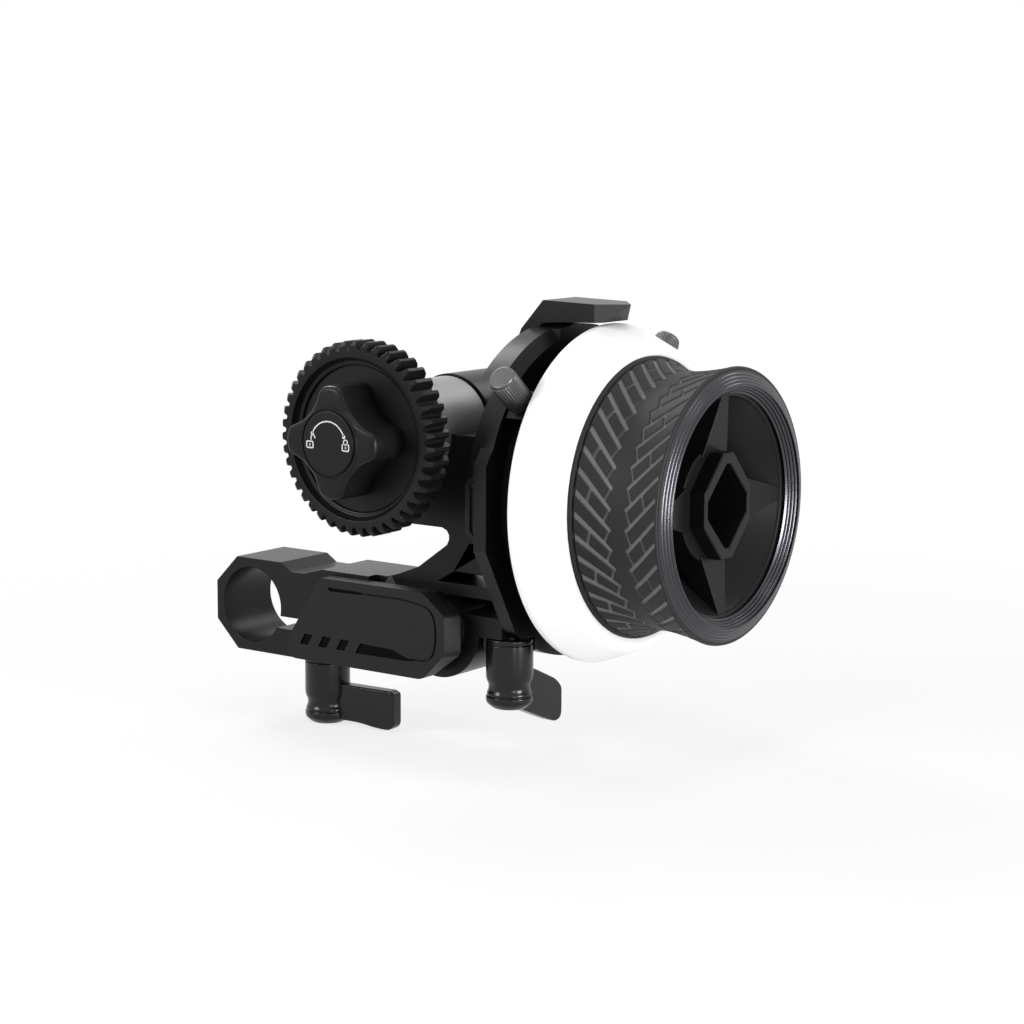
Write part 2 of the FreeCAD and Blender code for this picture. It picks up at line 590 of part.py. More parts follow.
def strut():
    outline = [(FOOT_X, FOOT_Z), (FOOT_X + 6.4, FOOT_Z + 2.5), (STRUT_TOP_X - 0.5, BLOCK_BOTTOM - 3.2),
               (STRUT_TOP_X, BLOCK_BOTTOM - 2.2), (STRUT_TOP_X, BLOCK_BOTTOM - 1.3),
               (STRUT_TOP_X - 0.5, BLOCK_BOTTOM - 0.5), (STRUT_TOP_X - 1.6, BLOCK_BOTTOM),
               (STRUT_TOP_X - 1.6, BLOCK_BOTTOM + 1),
               (PLAQUE_REAR + 1, BLOCK_BOTTOM + 1), (PLAQUE_REAR + 1, BLOCK_BOTTOM - 2.0),
               (FOOT_X + STRUT_WIDTH, STRAP_TOP), (FOOT_X + STRUT_WIDTH, STRAP_TOP - 2),
               (FOOT_X + 1.6, FOOT_Z - 2)]
    return prism("y", outline, FRONT_Y, SWING_END)


def gearbox_housing():
    cap_seat = COLLAR_END - CAP_THICK
    block = box((BLOCK_LEFT, FRONT_Y, BLOCK_BOTTOM), (PLAQUE_REAR + 1, cap_seat, GEAR_Z))
    collar = rod("y", OUTPUT, COLLAR_R, COLLAR_START, cap_seat)
    lay_tube = rod("x", LAY, WELL_R + HOUSING_WALL, GEAR_X, PLAQUE_REAR + 1)
    wheel_tube = rod("x", WHEEL, WELL_R + HOUSING_WALL, GEAR_X + 4, PLAQUE_REAR + 1)
    behind = rod("y", OUTPUT, COLLAR_R + SEAM, cap_seat, cap_seat + 2 * CAP_ROOM)
    beside = box((GEAR_X - 4 * CAP_ROOM, cap_seat, GEAR_Z - CAP_ROOM),
                 (GEAR_X + CAP_ROOM, cap_seat + 2 * CAP_ROOM, GEAR_Z + 4 * CAP_ROOM))
    strap_room = box((PLAQUE_REAR - 1, FRONT_Y - STRAP_ROOM, SLIT_LOW),
                     (STRAP_END + STRAP_ROOM, STRAP_BACK + STRAP_ROOM, STRAP_TOP + STRAP_ROOM))
    plate = less(joined([disc_outline(), plaque_boss()]), [strap_room])
    body = joined([block, collar, less(lay_tube, [behind, beside]), less(wheel_tube, [behind]),
                   plate, strut(), swing_clamp()])
    lever_room = rod("z", (SWING_LEVER_X, 0), LEVER_R + 0.5, -30, LUG_BOTTOM)
    cutters = [
        lever_room,
        rod("y", OUTPUT, SLEEVE_R + SEAM, FRONT_Y - 1, SLEEVE_END),
        rod("y", OUTPUT, SLEEVE_SPIGOT_R + SEAM, SLEEVE_END - 1, SLEEVE_TAIL),
        rod("y", OUTPUT, CHAMBER_R, SLEEVE_TAIL - 0.1, COLLAR_END),
        rod("x", LAY, LAY_RACE_R, GEAR_X, SPUR_X),
        rod("x", LAY, WELL_R, SPUR_X - TOOTH_ROOM, DISC_FACE + 1),
        rod("x", WHEEL, TAIL_RACE_R, TAIL_START - 0.2, SPUR_X),
        rod("x", WHEEL, WELL_R, SPUR_X - TOOTH_ROOM, DISC_FACE + 1),
        rod("y", PIVOT, SPIGOT_R, FRONT_Y - 1, SWING_END + 1),
        rod("z", (SWING_LEVER_X, 0), STUD_R + RUN, -10, STRAP_TOP + 1),
    ]
    cutters += [rod("x", place, TRACK_SCREW_R, DISC_FACE - 5, DISC_FACE + 1)
                for place in track_screw_places()]
    cutters += [rod("x", place, 1.0, DRUM_REAR - 1, DRUM_REAR + 4) for place in hood_screw_places()]
    return less(body, cutters)


def round_places(centre, radius, angles):
    return [(centre[0] + radius * math.cos(math.radians(a)),
             centre[1] + radius * math.sin(math.radians(a))) for a in angles]


def track_screw_places():
    return round_places(WHEEL, TRACK_R - TRACK_SCREW_INSET, (45, 135, 225, 315))


def hood_screw_places():
    level = WHEEL_Z + DRUM_LEVEL + 3.7
    return [(WHEEL_Y - 3.0, level), (WHEEL_Y + 3.0, level)]


def gearbox_end_cap():
    start = COLLAR_END - CAP_THICK
    plug = rod("y", OUTPUT, CHAMBER_R - SEAM, start - 0.5, start)
    dome = turned("y", OUTPUT, [(start, 0), (start, COLLAR_R), (start + 0.6, COLLAR_R - 0.3),
                                (start + 1.5, COLLAR_R - 1.3), (start + 2.4, COLLAR_R - 3.2),
                                (COLLAR_END, COLLAR_R - 5.6), (COLLAR_END, 0)])
    hollow = rod("y", OUTPUT, CHAMBER_R - 1.1, start - 2, start + 0.9)
    return joined([plug, dome]).cut(hollow)


def bearing_sleeve():
    body = rod("y", OUTPUT, SLEEVE_R, SLEEVE_FRONT, SLEEVE_END)
    tail = rod("y", OUTPUT, SLEEVE_SPIGOT_R, SLEEVE_END, SLEEVE_TAIL - 0.1)
    seats = [rod("y", OUTPUT, BALL_RACE_R, SLEEVE_FRONT - 1, SLEEVE_FRONT + BALL_RACE_WIDTH + 0.4),
             rod("y", OUTPUT, BALL_RACE_R, SLEEVE_TAIL - BALL_RACE_WIDTH - 0.4, SLEEVE_TAIL),
             rod("y", OUTPUT, OUTPUT_R + 1.2, SLEEVE_FRONT - 1, SLEEVE_TAIL)]
    return less(joined([body, tail]), seats)


def ball_bearing(axis, pair, outer, bore, start, width):
    """Shielded bearing: an outer race, an inner race and the shields between, as one closed unit."""
    body = tube(axis, pair, outer, bore + RUN, start, start + width)
    middle = (outer + bore) / 2
    groove = tube(axis, pair, middle + 0.7, middle - 0.7, start - 1, start + 0.25)
    return body.cut(groove)


def output_shaft():
    flange_back = GEAR_BACK - 0.2
    flange_front = flange_back - SEAT_THICK
    back = APEX.y - MITRE_R + MITRE_FACE * math.sin(math.radians(45))
    step = SLEEVE_TAIL + 0.2
    return turned("y", OUTPUT, [
        (back, 0), (back, LAY_R), (step, LAY_R), (step, OUTPUT_R), (flange_back, OUTPUT_R),
        (flange_back, SEAT_R), (flange_front, SEAT_R), (flange_front, GEAR_BORE_R),
        (WEB_FRONT + 0.1, GEAR_BORE_R), (WEB_FRONT + 0.1, KNOB_STUD_R),
        (KNOB_FRONT + 2.4, KNOB_STUD_R), (KNOB_FRONT + 2.4, 0)])


def drive_gear():
    body = spur_gear("y", OUTPUT, GEAR_MODULE, GEAR_TEETH, 90, GEAR_FRONT, GEAR_BACK)
    crown = turned("y", OUTPUT, [(GEAR_FRONT, 0), (GEAR_FRONT, GEAR_R - 0.9),
                                 (GEAR_FRONT + 0.6, GEAR_R + 0.1), (GEAR_BACK - 0.6, GEAR_R + 0.1),
                                 (GEAR_BACK, GEAR_R - 0.9), (GEAR_BACK, 0)])
    web = rod("y", OUTPUT, RIM_IN_R, GEAR_FRONT - 1, WEB_FRONT)
    lip = tube("y", OUTPUT, RIM_IN_R, RIM_IN_R - 1.5, WEB_FRONT - 0.35, WEB_FRONT)
    seat = rod("y", OUTPUT, SEAT_R + SEAM, GEAR_BACK - 0.2 - SEAT_THICK, GEAR_BACK + 1)
    bore = rod("y", OUTPUT, GEAR_BORE_R + SEAM, GEAR_FRONT - 1, GEAR_BACK + 1)
    return less(body.common(crown), [web.cut(lip), seat, bore])


def gear_lock_knob():
    back = WEB_FRONT - KNOB_LIFT
    shoulder = KNOB_FRONT + 1.2
    parts = [rod("y", OUTPUT, KNOB_HUB_R, KNOB_FRONT, back)]
    reach = KNOB_R - KNOB_LOBE_R
    for step in range(4):
        centre = round_places(OUTPUT, reach, (90 * step,))[0]
        parts.append(rod("y", centre, KNOB_LOBE_R, shoulder, back))
        arm = box((0, shoulder, -KNOB_LOBE_R), (reach, back, KNOB_LOBE_R))
        parts.append(turn(arm, "y", (0, 0), 90 * step).translated(vec(GEAR_X, 0, GEAR_Z)))
    stud = rod("y", OUTPUT, KNOB_STUD_R + RUN, KNOB_FRONT + 1.6, back + 1)
    return joined(parts).cut(stud)


def driven_mitre_gear():
    """On the output shaft; a gap between two teeth faces the other mitre gear."""
    gap = 180 / MITRE_TEETH
    teeth = mitre_gear("y", APEX, -1, gap)
    hub = rod("y", OUTPUT, MITRE_HUB_R, SLEEVE_TAIL + 0.2, APEX.y - MITRE_R)
    return joined([teeth, hub]).cut(rod("y", OUTPUT, LAY_R, SLEEVE_TAIL - 1, APEX.y))


def drive_mitre_gear():
    teeth = mitre_gear("x", APEX, 1, 180)
    hub = rod("x", LAY, MITRE_HUB_R, APEX.x + MITRE_R, APEX.x + MITRE_R + MITRE_HUB)
    return joined([teeth, hub]).cut(rod("x", LAY, LAY_R, APEX.x, APEX.x + 2 * MITRE_R + MITRE_HUB))


def lay_shaft():
    start = APEX.x + MITRE_R - MITRE_FACE * math.sin(math.radians(45))
    return rod("x", LAY, LAY_R, start, LAY_BUSH_START + LAY_BUSH + 0.3)


def lay_spur_gear():
    gap = 270 + 180 / SPUR_TEETH
    body = spur_gear("x", LAY, SPUR_MODULE, SPUR_TEETH, gap, SPUR_X, SPUR_X + SPUR_WIDTH)
    return body.cut(rod("x", LAY, LAY_R, SPUR_X - 1, SPUR_X + SPUR_WIDTH + 1))


def lay_bush_front():
    return tube("x", LAY, WELL_R - SEAM, LAY_R + RUN, LAY_BUSH_START, LAY_BUSH_START + LAY_BUSH)


def lay_bush_rear():
    start = APEX.x + MITRE_R + MITRE_HUB + 0.3
    return tube("x", LAY, LAY_RACE_R - SEAM, LAY_R + RUN, start, SPUR_X - TOOTH_ROOM)


def wheel_spur_gear():
    body = spur_gear("x", WHEEL, SPUR_MODULE, SPUR_TEETH, 90, SPUR_X, SPUR_X + SPUR_WIDTH)
    return body.cut(rod("x", WHEEL, SHAFT_R, SPUR_X - 1, SPUR_X + SPUR_WIDTH + 1))


def wheel_shaft():
    body = turned("x", WHEEL, [(TAIL_START, 0), (TAIL_START, TAIL_R), (SPUR_X - 0.3, TAIL_R),
                               (SPUR_X - 0.3, SHAFT_R), (SHAFT_END, SHAFT_R), (SHAFT_END, 0)])
    return body.cut(rod("x", WHEEL, WHEEL_SCREW_R, SHAFT_END - 8, SHAFT_END + 1))


def wheel_screw():
    floor = HUB_FRONT - SOCKET_DEPTH
    return cap_screw("x", WHEEL, WHEEL_SCREW_R, WHEEL_SCREW_HEAD, floor, floor + 1.8, SHAFT_END - 6)


def spring_washer():
    start = TRACK_FACE + 0.1
    return tube("x", WHEEL, RACE_R - 0.4, SHAFT_R + 0.3, start, CARRIER_REAR - 0.1)


def stop_track():
    ring = tube("x", WHEEL, TRACK_R, RACE_R - 1.0, DISC_FACE, TRACK_FACE)
    ring = ring.cut(rod("x", WHEEL, RACE_R, DISC_FACE - 1, RACE_START + RACE_WIDTH))
    places = track_screw_places()
    holes = [rod("x", place, TRACK_SCREW_R, DISC_FACE - 1, TRACK_FACE + 1) for place in places]
    sinks = [rod("x", place, 2.4, TRACK_FACE - 2.6, TRACK_FACE + 1) for place in places]
    return less(ring, holes + sinks)


def track_screws():
    screws = [cap_screw("x", place, TRACK_SCREW_R, 2.3, TRACK_FACE - 2.6, TRACK_FACE - 0.3, DISC_FACE - 4.5)
              for place in track_screw_places()]
    return Part.makeCompound(screws)


def stop_block(angle):
    """A saddle that rides on the stop track, drawn at +Y and turned to its angle."""
    half = (TRACK_WIDTH - 0.8) / 2
    outer = TRACK_R + RUN + STOP_HEIGHT
    ring = tube("x", WHEEL, outer, TRACK_R + RUN, STOP_X - half, STOP_X + half)
    reach = outer * math.tan(math.radians(STOP_ARC / 2))
    edge = WHEEL_Y + outer + 1
    wedge = prism("x", [WHEEL, (edge, WHEEL_Z - reach), (edge, WHEEL_Z + reach)],
                  STOP_X - half - 1, STOP_X + half + 1)
    hole = rod("y", (STOP_X, WHEEL_Z), THUMB_SHANK_R + RUN, WHEEL_Y, WHEEL_Y + outer + 1)
    return turn(ring.common(wedge).cut(hole), "x", WHEEL, angle)


def thumb_screw(angle):
    low = WHEEL_Y + THUMB_BOTTOM
    high = low + THUMB_HEIGHT
    head = turned("y", (STOP_X, WHEEL_Z), [(low, 0), (low, THUMB_R - 0.3), (low + 0.4, THUMB_R),
                                           (high - 0.5, THUMB_R), (high, THUMB_R - 0.5), (high, 0)])
    for step in range(24):
        place = round_places((STOP_X, WHEEL_Z), THUMB_R + 0.05, (15 * step,))[0]
        head = head.cut(rod("y", place, 0.16, low + 0.8, high - 0.8))
    shank = rod("y", (STOP_X, WHEEL_Z), THUMB_SHANK_R, WHEEL_Y + TRACK_R + 0.1, low)
    return turn(joined([head, shank]), "x", WHEEL, angle)


def marking_ring():
    front = RING_FRONT
    slope = (RING_R - RING_FRONT_R) / (front - RING_REAR)
    lip = 1.0
    shoulder_r = RING_R - slope * (front - lip - RING_REAR)
    return turned("x", WHEEL, [
        (RING_REAR, RING_R - RING_WALL), (RING_REAR, RING_R - 0.4), (RING_REAR + 0.4, RING_R),
        (RING_REAR + 1.2, RING_R), (front - lip, shoulder_r), (front - 0.25, RING_FRONT_R - 0.2),
        (front, RING_FRONT_R - 0.8), (front, GRIP_BEAD_R), (CORE_REAR, GRIP_BEAD_R),
        (CORE_REAR, RING_R - RING_WALL)])


def marking_carrier():
    disc = tube("x", WHEEL, RING_R - RING_WALL - SEAM, SHAFT_R + SEAM, CARRIER_REAR, CORE_REAR)
    dog = round_places(WHEEL, DOG_CIRCLE, (270,))[0]
    return disc.cut(rod("x", dog, DOG_R, CARRIER_REAR - 1, CORE_REAR + 1))


def stop_dog():
    dog = round_places(WHEEL, DOG_CIRCLE, (270,))[0]
    return rod("x", dog, DOG_R, STOP_X - 1.6, CORE_REAR)


def handwheel_core():
    floor = HUB_FRONT - SOCKET_DEPTH
    shell = turned("x", WHEEL, [
        (CORE_REAR, SHAFT_R + SEAM), (CORE_REAR, GRIP_IN_R), (BEZEL_SEAT - 1.4, GRIP_IN_R),
        (BEZEL_SEAT - 1.4, BEZEL_SEAT_R), (BEZEL_SEAT, BEZEL_SEAT_R), (BEZEL_SEAT, DISH_R),
        (DISH_FLOOR, DISH_FLOOR_R), (DISH_FLOOR, HUB_R), (HUB_FRONT, HUB_R),
        (HUB_FRONT, WHEEL_SCREW_HEAD + 0.2), (floor, WHEEL_SCREW_HEAD + 0.2), (floor, WHEEL_SCREW_R),
        (SHAFT_END, WHEEL_SCREW_R), (SHAFT_END, SHAFT_R + SEAM)])
    ribs = []
    for step in range(4):
        rib = prism("x", [(WHEEL_Y + 8.0, WHEEL_Z - 5.0), (WHEEL_Y + 8.0, WHEEL_Z + 5.0),
                          (WHEEL_Y + DISH_R, WHEEL_Z + 0.4), (WHEEL_Y + DISH_R, WHEEL_Z - 0.4)],
                    DISH_FLOOR, BEZEL_SEAT)
        ribs.append(turn(rib, "x", WHEEL, 90 * step))
    body = joined([shell] + ribs)
    square, tall, wide = SOCKET_HALF_DIAGONAL, SOCKET_TALL, SOCKET_WIDE
    corners = [(square - tall, tall), (wide, square - wide), (wide, wide - square),
               (square - tall, -tall), (tall - square, -tall), (-wide, wide - square),
               (-wide, square - wide), (tall - square, tall)]
    socket = prism("x", [(WHEEL_Y + u, WHEEL_Z + v) for u, v in corners], floor, HUB_FRONT + 1)
    hollow = tube("x", WHEEL, GRIP_IN_R - 2.0, 12.6, CORE_REAR - 1, DISH_FLOOR - 5.0)
    return less(body, [socket, hollow])


def grip_radius(x):
    """The waisted grip: wide at the marking ring, narrow at its waist, flared at the bezel."""
    waist, waist_r = GRIP_WAIST_X, GRIP_WAIST_R
    if x < waist:
        return waist_r + (GRIP_BEAD_R - waist_r) * ((waist - x) / (waist - RING_FRONT)) ** 2
    return waist_r + (GRIP_END_R - waist_r) * ((x - waist) / (GRIP_END - waist)) ** 1.6


def grip_sleeve():
    count = 14
    outside = []
    for step in range(count + 1):
        x = RING_FRONT + (GRIP_END - RING_FRONT) * step / count
        outside.append(vec(x, WHEEL_Y, WHEEL_Z + grip_radius(x)))
    curve = Part.BSplineCurve()
    curve.interpolate(outside)
    rear, front = RING_FRONT, GRIP_END
    tail = CORE_REAR + SEAM
    under_ring = GRIP_BEAD_R - SEAM
    step = BEZEL_SEAT - 1.4 - SEAM
    corners = [vec(front, WHEEL_Y, WHEEL_Z + BEZEL_SEAT_R + SEAM),
               vec(step, WHEEL_Y, WHEEL_Z + BEZEL_SEAT_R + SEAM),
               vec(step, WHEEL_Y, WHEEL_Z + GRIP_IN_R + SEAM),
               vec(tail, WHEEL_Y, WHEEL_Z + GRIP_IN_R + SEAM),
               vec(tail, WHEEL_Y, WHEEL_Z + under_ring),
               vec(rear, WHEEL_Y, WHEEL_Z + under_ring)]
    path = [outside[-1]] + corners + [outside[0]]
    edges = [curve.toShape()] + [Part.makeLine(a, b) for a, b in zip(path, path[1:])]
    face = Part.Face(Part.Wire(Part.__sortEdges__(edges)))
    return face.revolve(vec(0, WHEEL_Y, WHEEL_Z), vec(1, 0, 0), 360)


def ridged(start, end):
    """A slope from start to end with small ridges along it; each pair is (place along the axis, radius)."""
    points = []
    for number in range(BEZEL_RIDGES):
        for share, sink in ((0.08, 0), (0.55, 0), (0.7, 0.16), (0.92, 0.16)):
            along = (number + share) / BEZEL_RIDGES
            points.append((start[0] + (end[0] - start[0]) * along - sink,
                           start[1] + (end[1] - start[1]) * along))
    return points


def bezel_ring():
    outer, crest = (GRIP_END + 0.4, BEZEL_R), (BEZEL_FRONT, BEZEL_CREST_R)
    inner = (BEZEL_SEAT + 0.65, BEZEL_IN_R)
    profile = [(BEZEL_SEAT, BEZEL_IN_R), (BEZEL_SEAT, BEZEL_SEAT_R), (GRIP_END, BEZEL_SEAT_R),
               (GRIP_END, BEZEL_R), outer]
    profile += ridged(outer, crest) + [crest] + ridged(crest, inner) + [inner]
    return turned("x", WHEEL, profile)


def index_hood():
    rear = DRUM_REAR - HOOD_THICK_X
    foot = WHEEL_Z + DRUM_LEVEL + HOOD_FOOT_GAP
    outline = [(rear, foot), (rear, HOOD_TOP - HOOD_BROW), (rear + 1.2, HOOD_TOP - HOOD_CROWN),
               (rear + 6.2, HOOD_TOP), (HOOD_TIP_X, HOOD_TOP - 0.4), (HOOD_TIP_X - 3.4, HOOD_UNDER),
               (DISC_FACE + 0.3, HOOD_UNDER - 0.2), (DRUM_REAR + 1.6, HOOD_UNDER - 0.5),
               (DRUM_REAR + 1.6, WHEEL_Z + DISC_R + SEAM),
               (DRUM_REAR - SEAM, WHEEL_Z + DISC_R - 2.3), (DRUM_REAR - SEAM, foot)]
    half = HOOD_WIDTH / 2
    bar = prism("y", outline, WHEEL_Y - half, WHEEL_Y + half)
    plan = [(0, WHEEL_Y - half), (HOOD_FACET_X, WHEEL_Y - half), (HOOD_TIP_X, WHEEL_Y),
            (HOOD_FACET_X, WHEEL_Y + half), (0, WHEEL_Y + half)]
    drum = rod("x", WHEEL, DISC_R + SEAM, DRUM_REAR - SEAM, DISC_FACE + 0.5)
    screws = [rod("x", place, HOOD_SCREW_R, 0, DRUM_REAR + 1) for place in hood_screw_places()]
    sinks = [rod("x", place, HOOD_SCREW_HEAD_R + 0.1, 0, rear + HOOD_SCREW_SINK)
             for place in hood_screw_places()]
    return less(bar.common(prism("z", plan, 0, 100)), [drum] + screws + sinks)


def hood_screws():
    rear = DRUM_REAR - HOOD_THICK_X
    return Part.makeCompound([cap_screw("x", place, HOOD_SCREW_R, HOOD_SCREW_HEAD_R, rear + 0.3,
                                        rear + HOOD_SCREW_SINK, DRUM_REAR + HOOD_SCREW_GRIP)
                              for place in hood_screw_places()])


def main():
    os.makedirs("parts", exist_ok=True)
    nodes = {
        "rod_clamp_arm": rod_clamp_arm(),
        "arm_cover": arm_cover(),
        "arm_cover_screws": cover_screws(),
        "swing_spigot": swing_spigot(),
        "spigot_washer": spigot_washer(),
        "spigot_screw": spigot_screw(),
        "rod_lever_handle": lever_handle(ROD_LEVER_X, ROD_LEVER_TOP, rod_blade()),
        "rod_clamp_stud": clamp_stud(ROD_LEVER_X, ROD_LEVER_TOP - LEVER_HEIGHT + CAP_SEAT, ROD_STUD_TOP),
        "rod_lever_cap": lever_cap(ROD_LEVER_X, ROD_LEVER_TOP),
        "gearbox_housing": gearbox_housing(),
        "gearbox_end_cap": gearbox_end_cap(),
        "bearing_sleeve": bearing_sleeve(),
        "output_bearing_front": ball_bearing("y", OUTPUT, BALL_RACE_R, OUTPUT_R,
                                             SLEEVE_FRONT + 0.4, BALL_RACE_WIDTH),
        "output_bearing_rear": ball_bearing("y", OUTPUT, BALL_RACE_R, OUTPUT_R,
                                            SLEEVE_TAIL - BALL_RACE_WIDTH - 0.4, BALL_RACE_WIDTH),
        "wheel_bearing_rear": ball_bearing("x", WHEEL, TAIL_RACE_R, TAIL_R, TAIL_START, TAIL_RACE_WIDTH),
        "wheel_bearing_front": ball_bearing("x", WHEEL, RACE_R, SHAFT_R, RACE_START, RACE_WIDTH),
        "lay_bush_front": lay_bush_front(),
        "lay_bush_rear": lay_bush_rear(),
        "stop_track_ring": stop_track(),
        "track_ring_screws": track_screws(),
        "index_hood": index_hood(),
        "hood_screws": hood_screws(),
        "swing_lever_handle": lever_handle(SWING_LEVER_X, SWING_LEVER_TOP, swing_blade()),
        "swing_clamp_stud": clamp_stud(SWING_LEVER_X, SWING_LEVER_TOP - LEVER_HEIGHT + CAP_SEAT,
                                       STRAP_TOP - 0.2),
        "swing_lever_cap": lever_cap(SWING_LEVER_X, SWING_LEVER_TOP),
        "wheel_shaft": wheel_shaft(),
        "wheel_spur_gear": wheel_spur_gear(),
        "wheel_retaining_screw": wheel_screw(),
        "damping_washer": spring_washer(),
        "marking_carrier_disc": marking_carrier(),
        "stop_dog_pin": stop_dog(),
        "marking_ring": marking_ring(),
        "handwheel_core": handwheel_core(),
        "grip_sleeve": grip_sleeve(),
        "bezel_ring": bezel_ring(),
        "lay_shaft": lay_shaft(),
        "lay_spur_gear": lay_spur_gear(),
        "drive_mitre_gear": drive_mitre_gear(),
        "output_shaft": output_shaft(),
        "driven_mitre_gear": driven_mitre_gear(),
        "drive_gear": drive_gear(),
        "gear_lock_knob": gear_lock_knob(),
        "stop_block_a": stop_block(STOP_A_ANGLE),
        "thumb_screw_a": thumb_screw(STOP_A_ANGLE),
        "stop_block_b": stop_block(STOP_B_ANGLE),
        "thumb_screw_b": thumb_screw(STOP_B_ANGLE),
    }
    for name, shape in nodes.items():
        shape.exportStep("parts/" + name + ".step")
        print(name, "solids", len(shape.Solids), "volume", round(shape.Volume, 1), "valid", shape.isValid())


main()
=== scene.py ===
import bpy
import bmesh
import json
import math
from mathutils import Matrix, Vector


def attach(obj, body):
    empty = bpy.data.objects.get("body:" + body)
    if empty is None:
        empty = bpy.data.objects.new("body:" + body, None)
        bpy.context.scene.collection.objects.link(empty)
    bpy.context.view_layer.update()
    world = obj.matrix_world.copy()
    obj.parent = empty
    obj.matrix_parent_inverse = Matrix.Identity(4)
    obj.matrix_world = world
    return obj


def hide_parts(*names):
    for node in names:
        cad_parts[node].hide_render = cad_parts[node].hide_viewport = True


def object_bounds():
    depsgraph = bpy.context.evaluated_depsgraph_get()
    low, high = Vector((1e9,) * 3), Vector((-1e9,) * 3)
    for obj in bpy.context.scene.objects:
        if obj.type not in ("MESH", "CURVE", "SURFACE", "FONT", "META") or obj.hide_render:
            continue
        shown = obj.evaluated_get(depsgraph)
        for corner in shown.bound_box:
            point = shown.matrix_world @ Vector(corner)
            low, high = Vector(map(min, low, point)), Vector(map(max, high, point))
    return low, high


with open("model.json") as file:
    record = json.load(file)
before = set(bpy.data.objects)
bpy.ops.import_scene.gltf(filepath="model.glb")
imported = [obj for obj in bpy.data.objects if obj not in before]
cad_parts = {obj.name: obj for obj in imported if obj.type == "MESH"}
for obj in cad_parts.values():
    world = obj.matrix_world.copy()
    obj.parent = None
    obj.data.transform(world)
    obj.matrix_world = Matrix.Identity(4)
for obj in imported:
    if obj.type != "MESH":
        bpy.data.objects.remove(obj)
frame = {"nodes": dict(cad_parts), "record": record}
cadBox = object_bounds()
print("frame loaded:", len(frame["nodes"]), "nodes")

mm = 0.001
wheelAxis = (16.4, 25.8)     # y, z of the handwheel's axis
gearAxis = (38.1, 37.3)      # x, z of the drive gear's axis


def linear(colour):
    values = [int(colour[i:i + 2], 16) / 255 for i in (1, 3, 5)]
    return [v / 12.92 if v <= 0.04045 else ((v + 0.055) / 1.055) ** 2.4 for v in values] + [1.0]


def addNode(tree, kind, settings=None, links=None):
    new = tree.nodes.new(kind)
    for key, value in (settings or {}).items():
        if isinstance(key, str) and hasattr(new, key):
            setattr(new, key, value)
        else:
            new.inputs[key].default_value = value
    for key, source in (links or {}).items():
        tree.links.new(source, new.inputs[key])
    return new


def newFinish(name):
    material = bpy.data.materials.new(name)
    material.use_nodes = True
    tree = material.node_tree
    tree.nodes.clear()
    return material, tree, addNode(tree, "ShaderNodeTexCoord").outputs["Object"]


def blend(tree, share, first, second):
    return addNode(tree, "ShaderNodeMix", {"data_type": "RGBA", 6: linear(first), 7: linear(second)},
                   {0: share}).outputs[2]


# noise lies mostly between 0.3 and 0.7, and is stretched here to run from low to high
def spread(tree, source, low, high):
    return addNode(tree, "ShaderNodeMapRange",
                   {"From Min": 0.3, "From Max": 0.7, "To Min": low, "To Max": high},
                   {"Value": source}).outputs[0]


def roughRange(tree, look, source):
    middle, swing = look["roughness"], look["roughSpread"]
    return spread(tree, source, middle - swing, middle + swing)


def finishSurface(tree, look, colour, roughness, height):
    bump = addNode(tree, "ShaderNodeBump", {"Distance": look["bumpMm"] * mm, "Strength": 1.0},
                   {"Height": height})
    shader = addNode(tree, "ShaderNodeBsdfPrincipled", {
        "Metallic": look.get("metallic", 0.0), "IOR": look.get("ior", 1.5),
        "Specular IOR Level": look.get("specular", 0.5)},
        {"Base Color": colour, "Roughness": roughness, "Normal": bump.outputs[0]})
    addNode(tree, "ShaderNodeOutputMaterial", None, {"Surface": shader.outputs[0]})


# a fine even grain with faint cloudiness, for blasted, moulded and rubbed surfaces
def grainedFinish(name, look):
    material, tree, position = newFinish(name)
    grain = addNode(tree, "ShaderNodeTexNoise",
                    {"Scale": 1 / (look["grainMm"] * mm), "Detail": 3.0, "Roughness": 0.6},
                    {"Vector": position}).outputs[0]
    cloud = addNode(tree, "ShaderNodeTexNoise", {"Scale": 1 / (look["cloudMm"] * mm), "Detail": 4.0},
                    {"Vector": position}).outputs[0]
    colour = blend(tree, spread(tree, cloud, 0, 1), look["colour"], look["cloudColour"])
    finishSurface(tree, look, colour, roughRange(tree, look, grain), grain)
    return material


# lines round an axis left by the lathe tool, over a faint cloudiness
def turnedFinish(name, look):
    material, tree, position = newFinish(name)
    parts = addNode(tree, "ShaderNodeSeparateXYZ", None, {"Vector": position})
    lines = addNode(tree, "ShaderNodeTexNoise",
                    {"noise_dimensions": "1D", "Scale": 1 / (look["lineMm"] * mm), "Detail": 2.0},
                    {"W": parts.outputs[look["axis"]]}).outputs[0]
    cloud = addNode(tree, "ShaderNodeTexNoise", {"Scale": 1 / (look["cloudMm"] * mm)},
                    {"Vector": position}).outputs[0]
    colour = blend(tree, spread(tree, lines, 0, 1), look["colour"], look["cloudColour"])
    finishSurface(tree, look, colour, roughRange(tree, look, cloud), lines)
    return material


# moulded rubber: dull blocks, with the smoother floor of the tread between them; that floor is painted
# paler, a painted sheen for the light its smooth skin catches
def treadFinish(name, look):
    material, tree, position = newFinish(name)
    groove = addNode(tree, "ShaderNodeAttribute", {"attribute_name": "groove"}).outputs["Fac"]
    grain = addNode(tree, "ShaderNodeTexNoise", {"Scale": 1 / (look["grainMm"] * mm), "Detail": 3.0},
                    {"Vector": position}).outputs[0]
    # the grooves' paler colour is painted sheen, not the rubber's own tone; only the lower roughness
    # there is the rubber's own
    colour = blend(tree, groove, look["colour"], look["floorColourAndGrooveSheen"])
    roughness = addNode(tree, "ShaderNodeMapRange",
                        {"To Min": look["roughness"], "To Max": look["floorRoughness"]},
                        {"Value": groove}).outputs[0]
    finishSurface(tree, look, colour, roughness, grain)
    return material


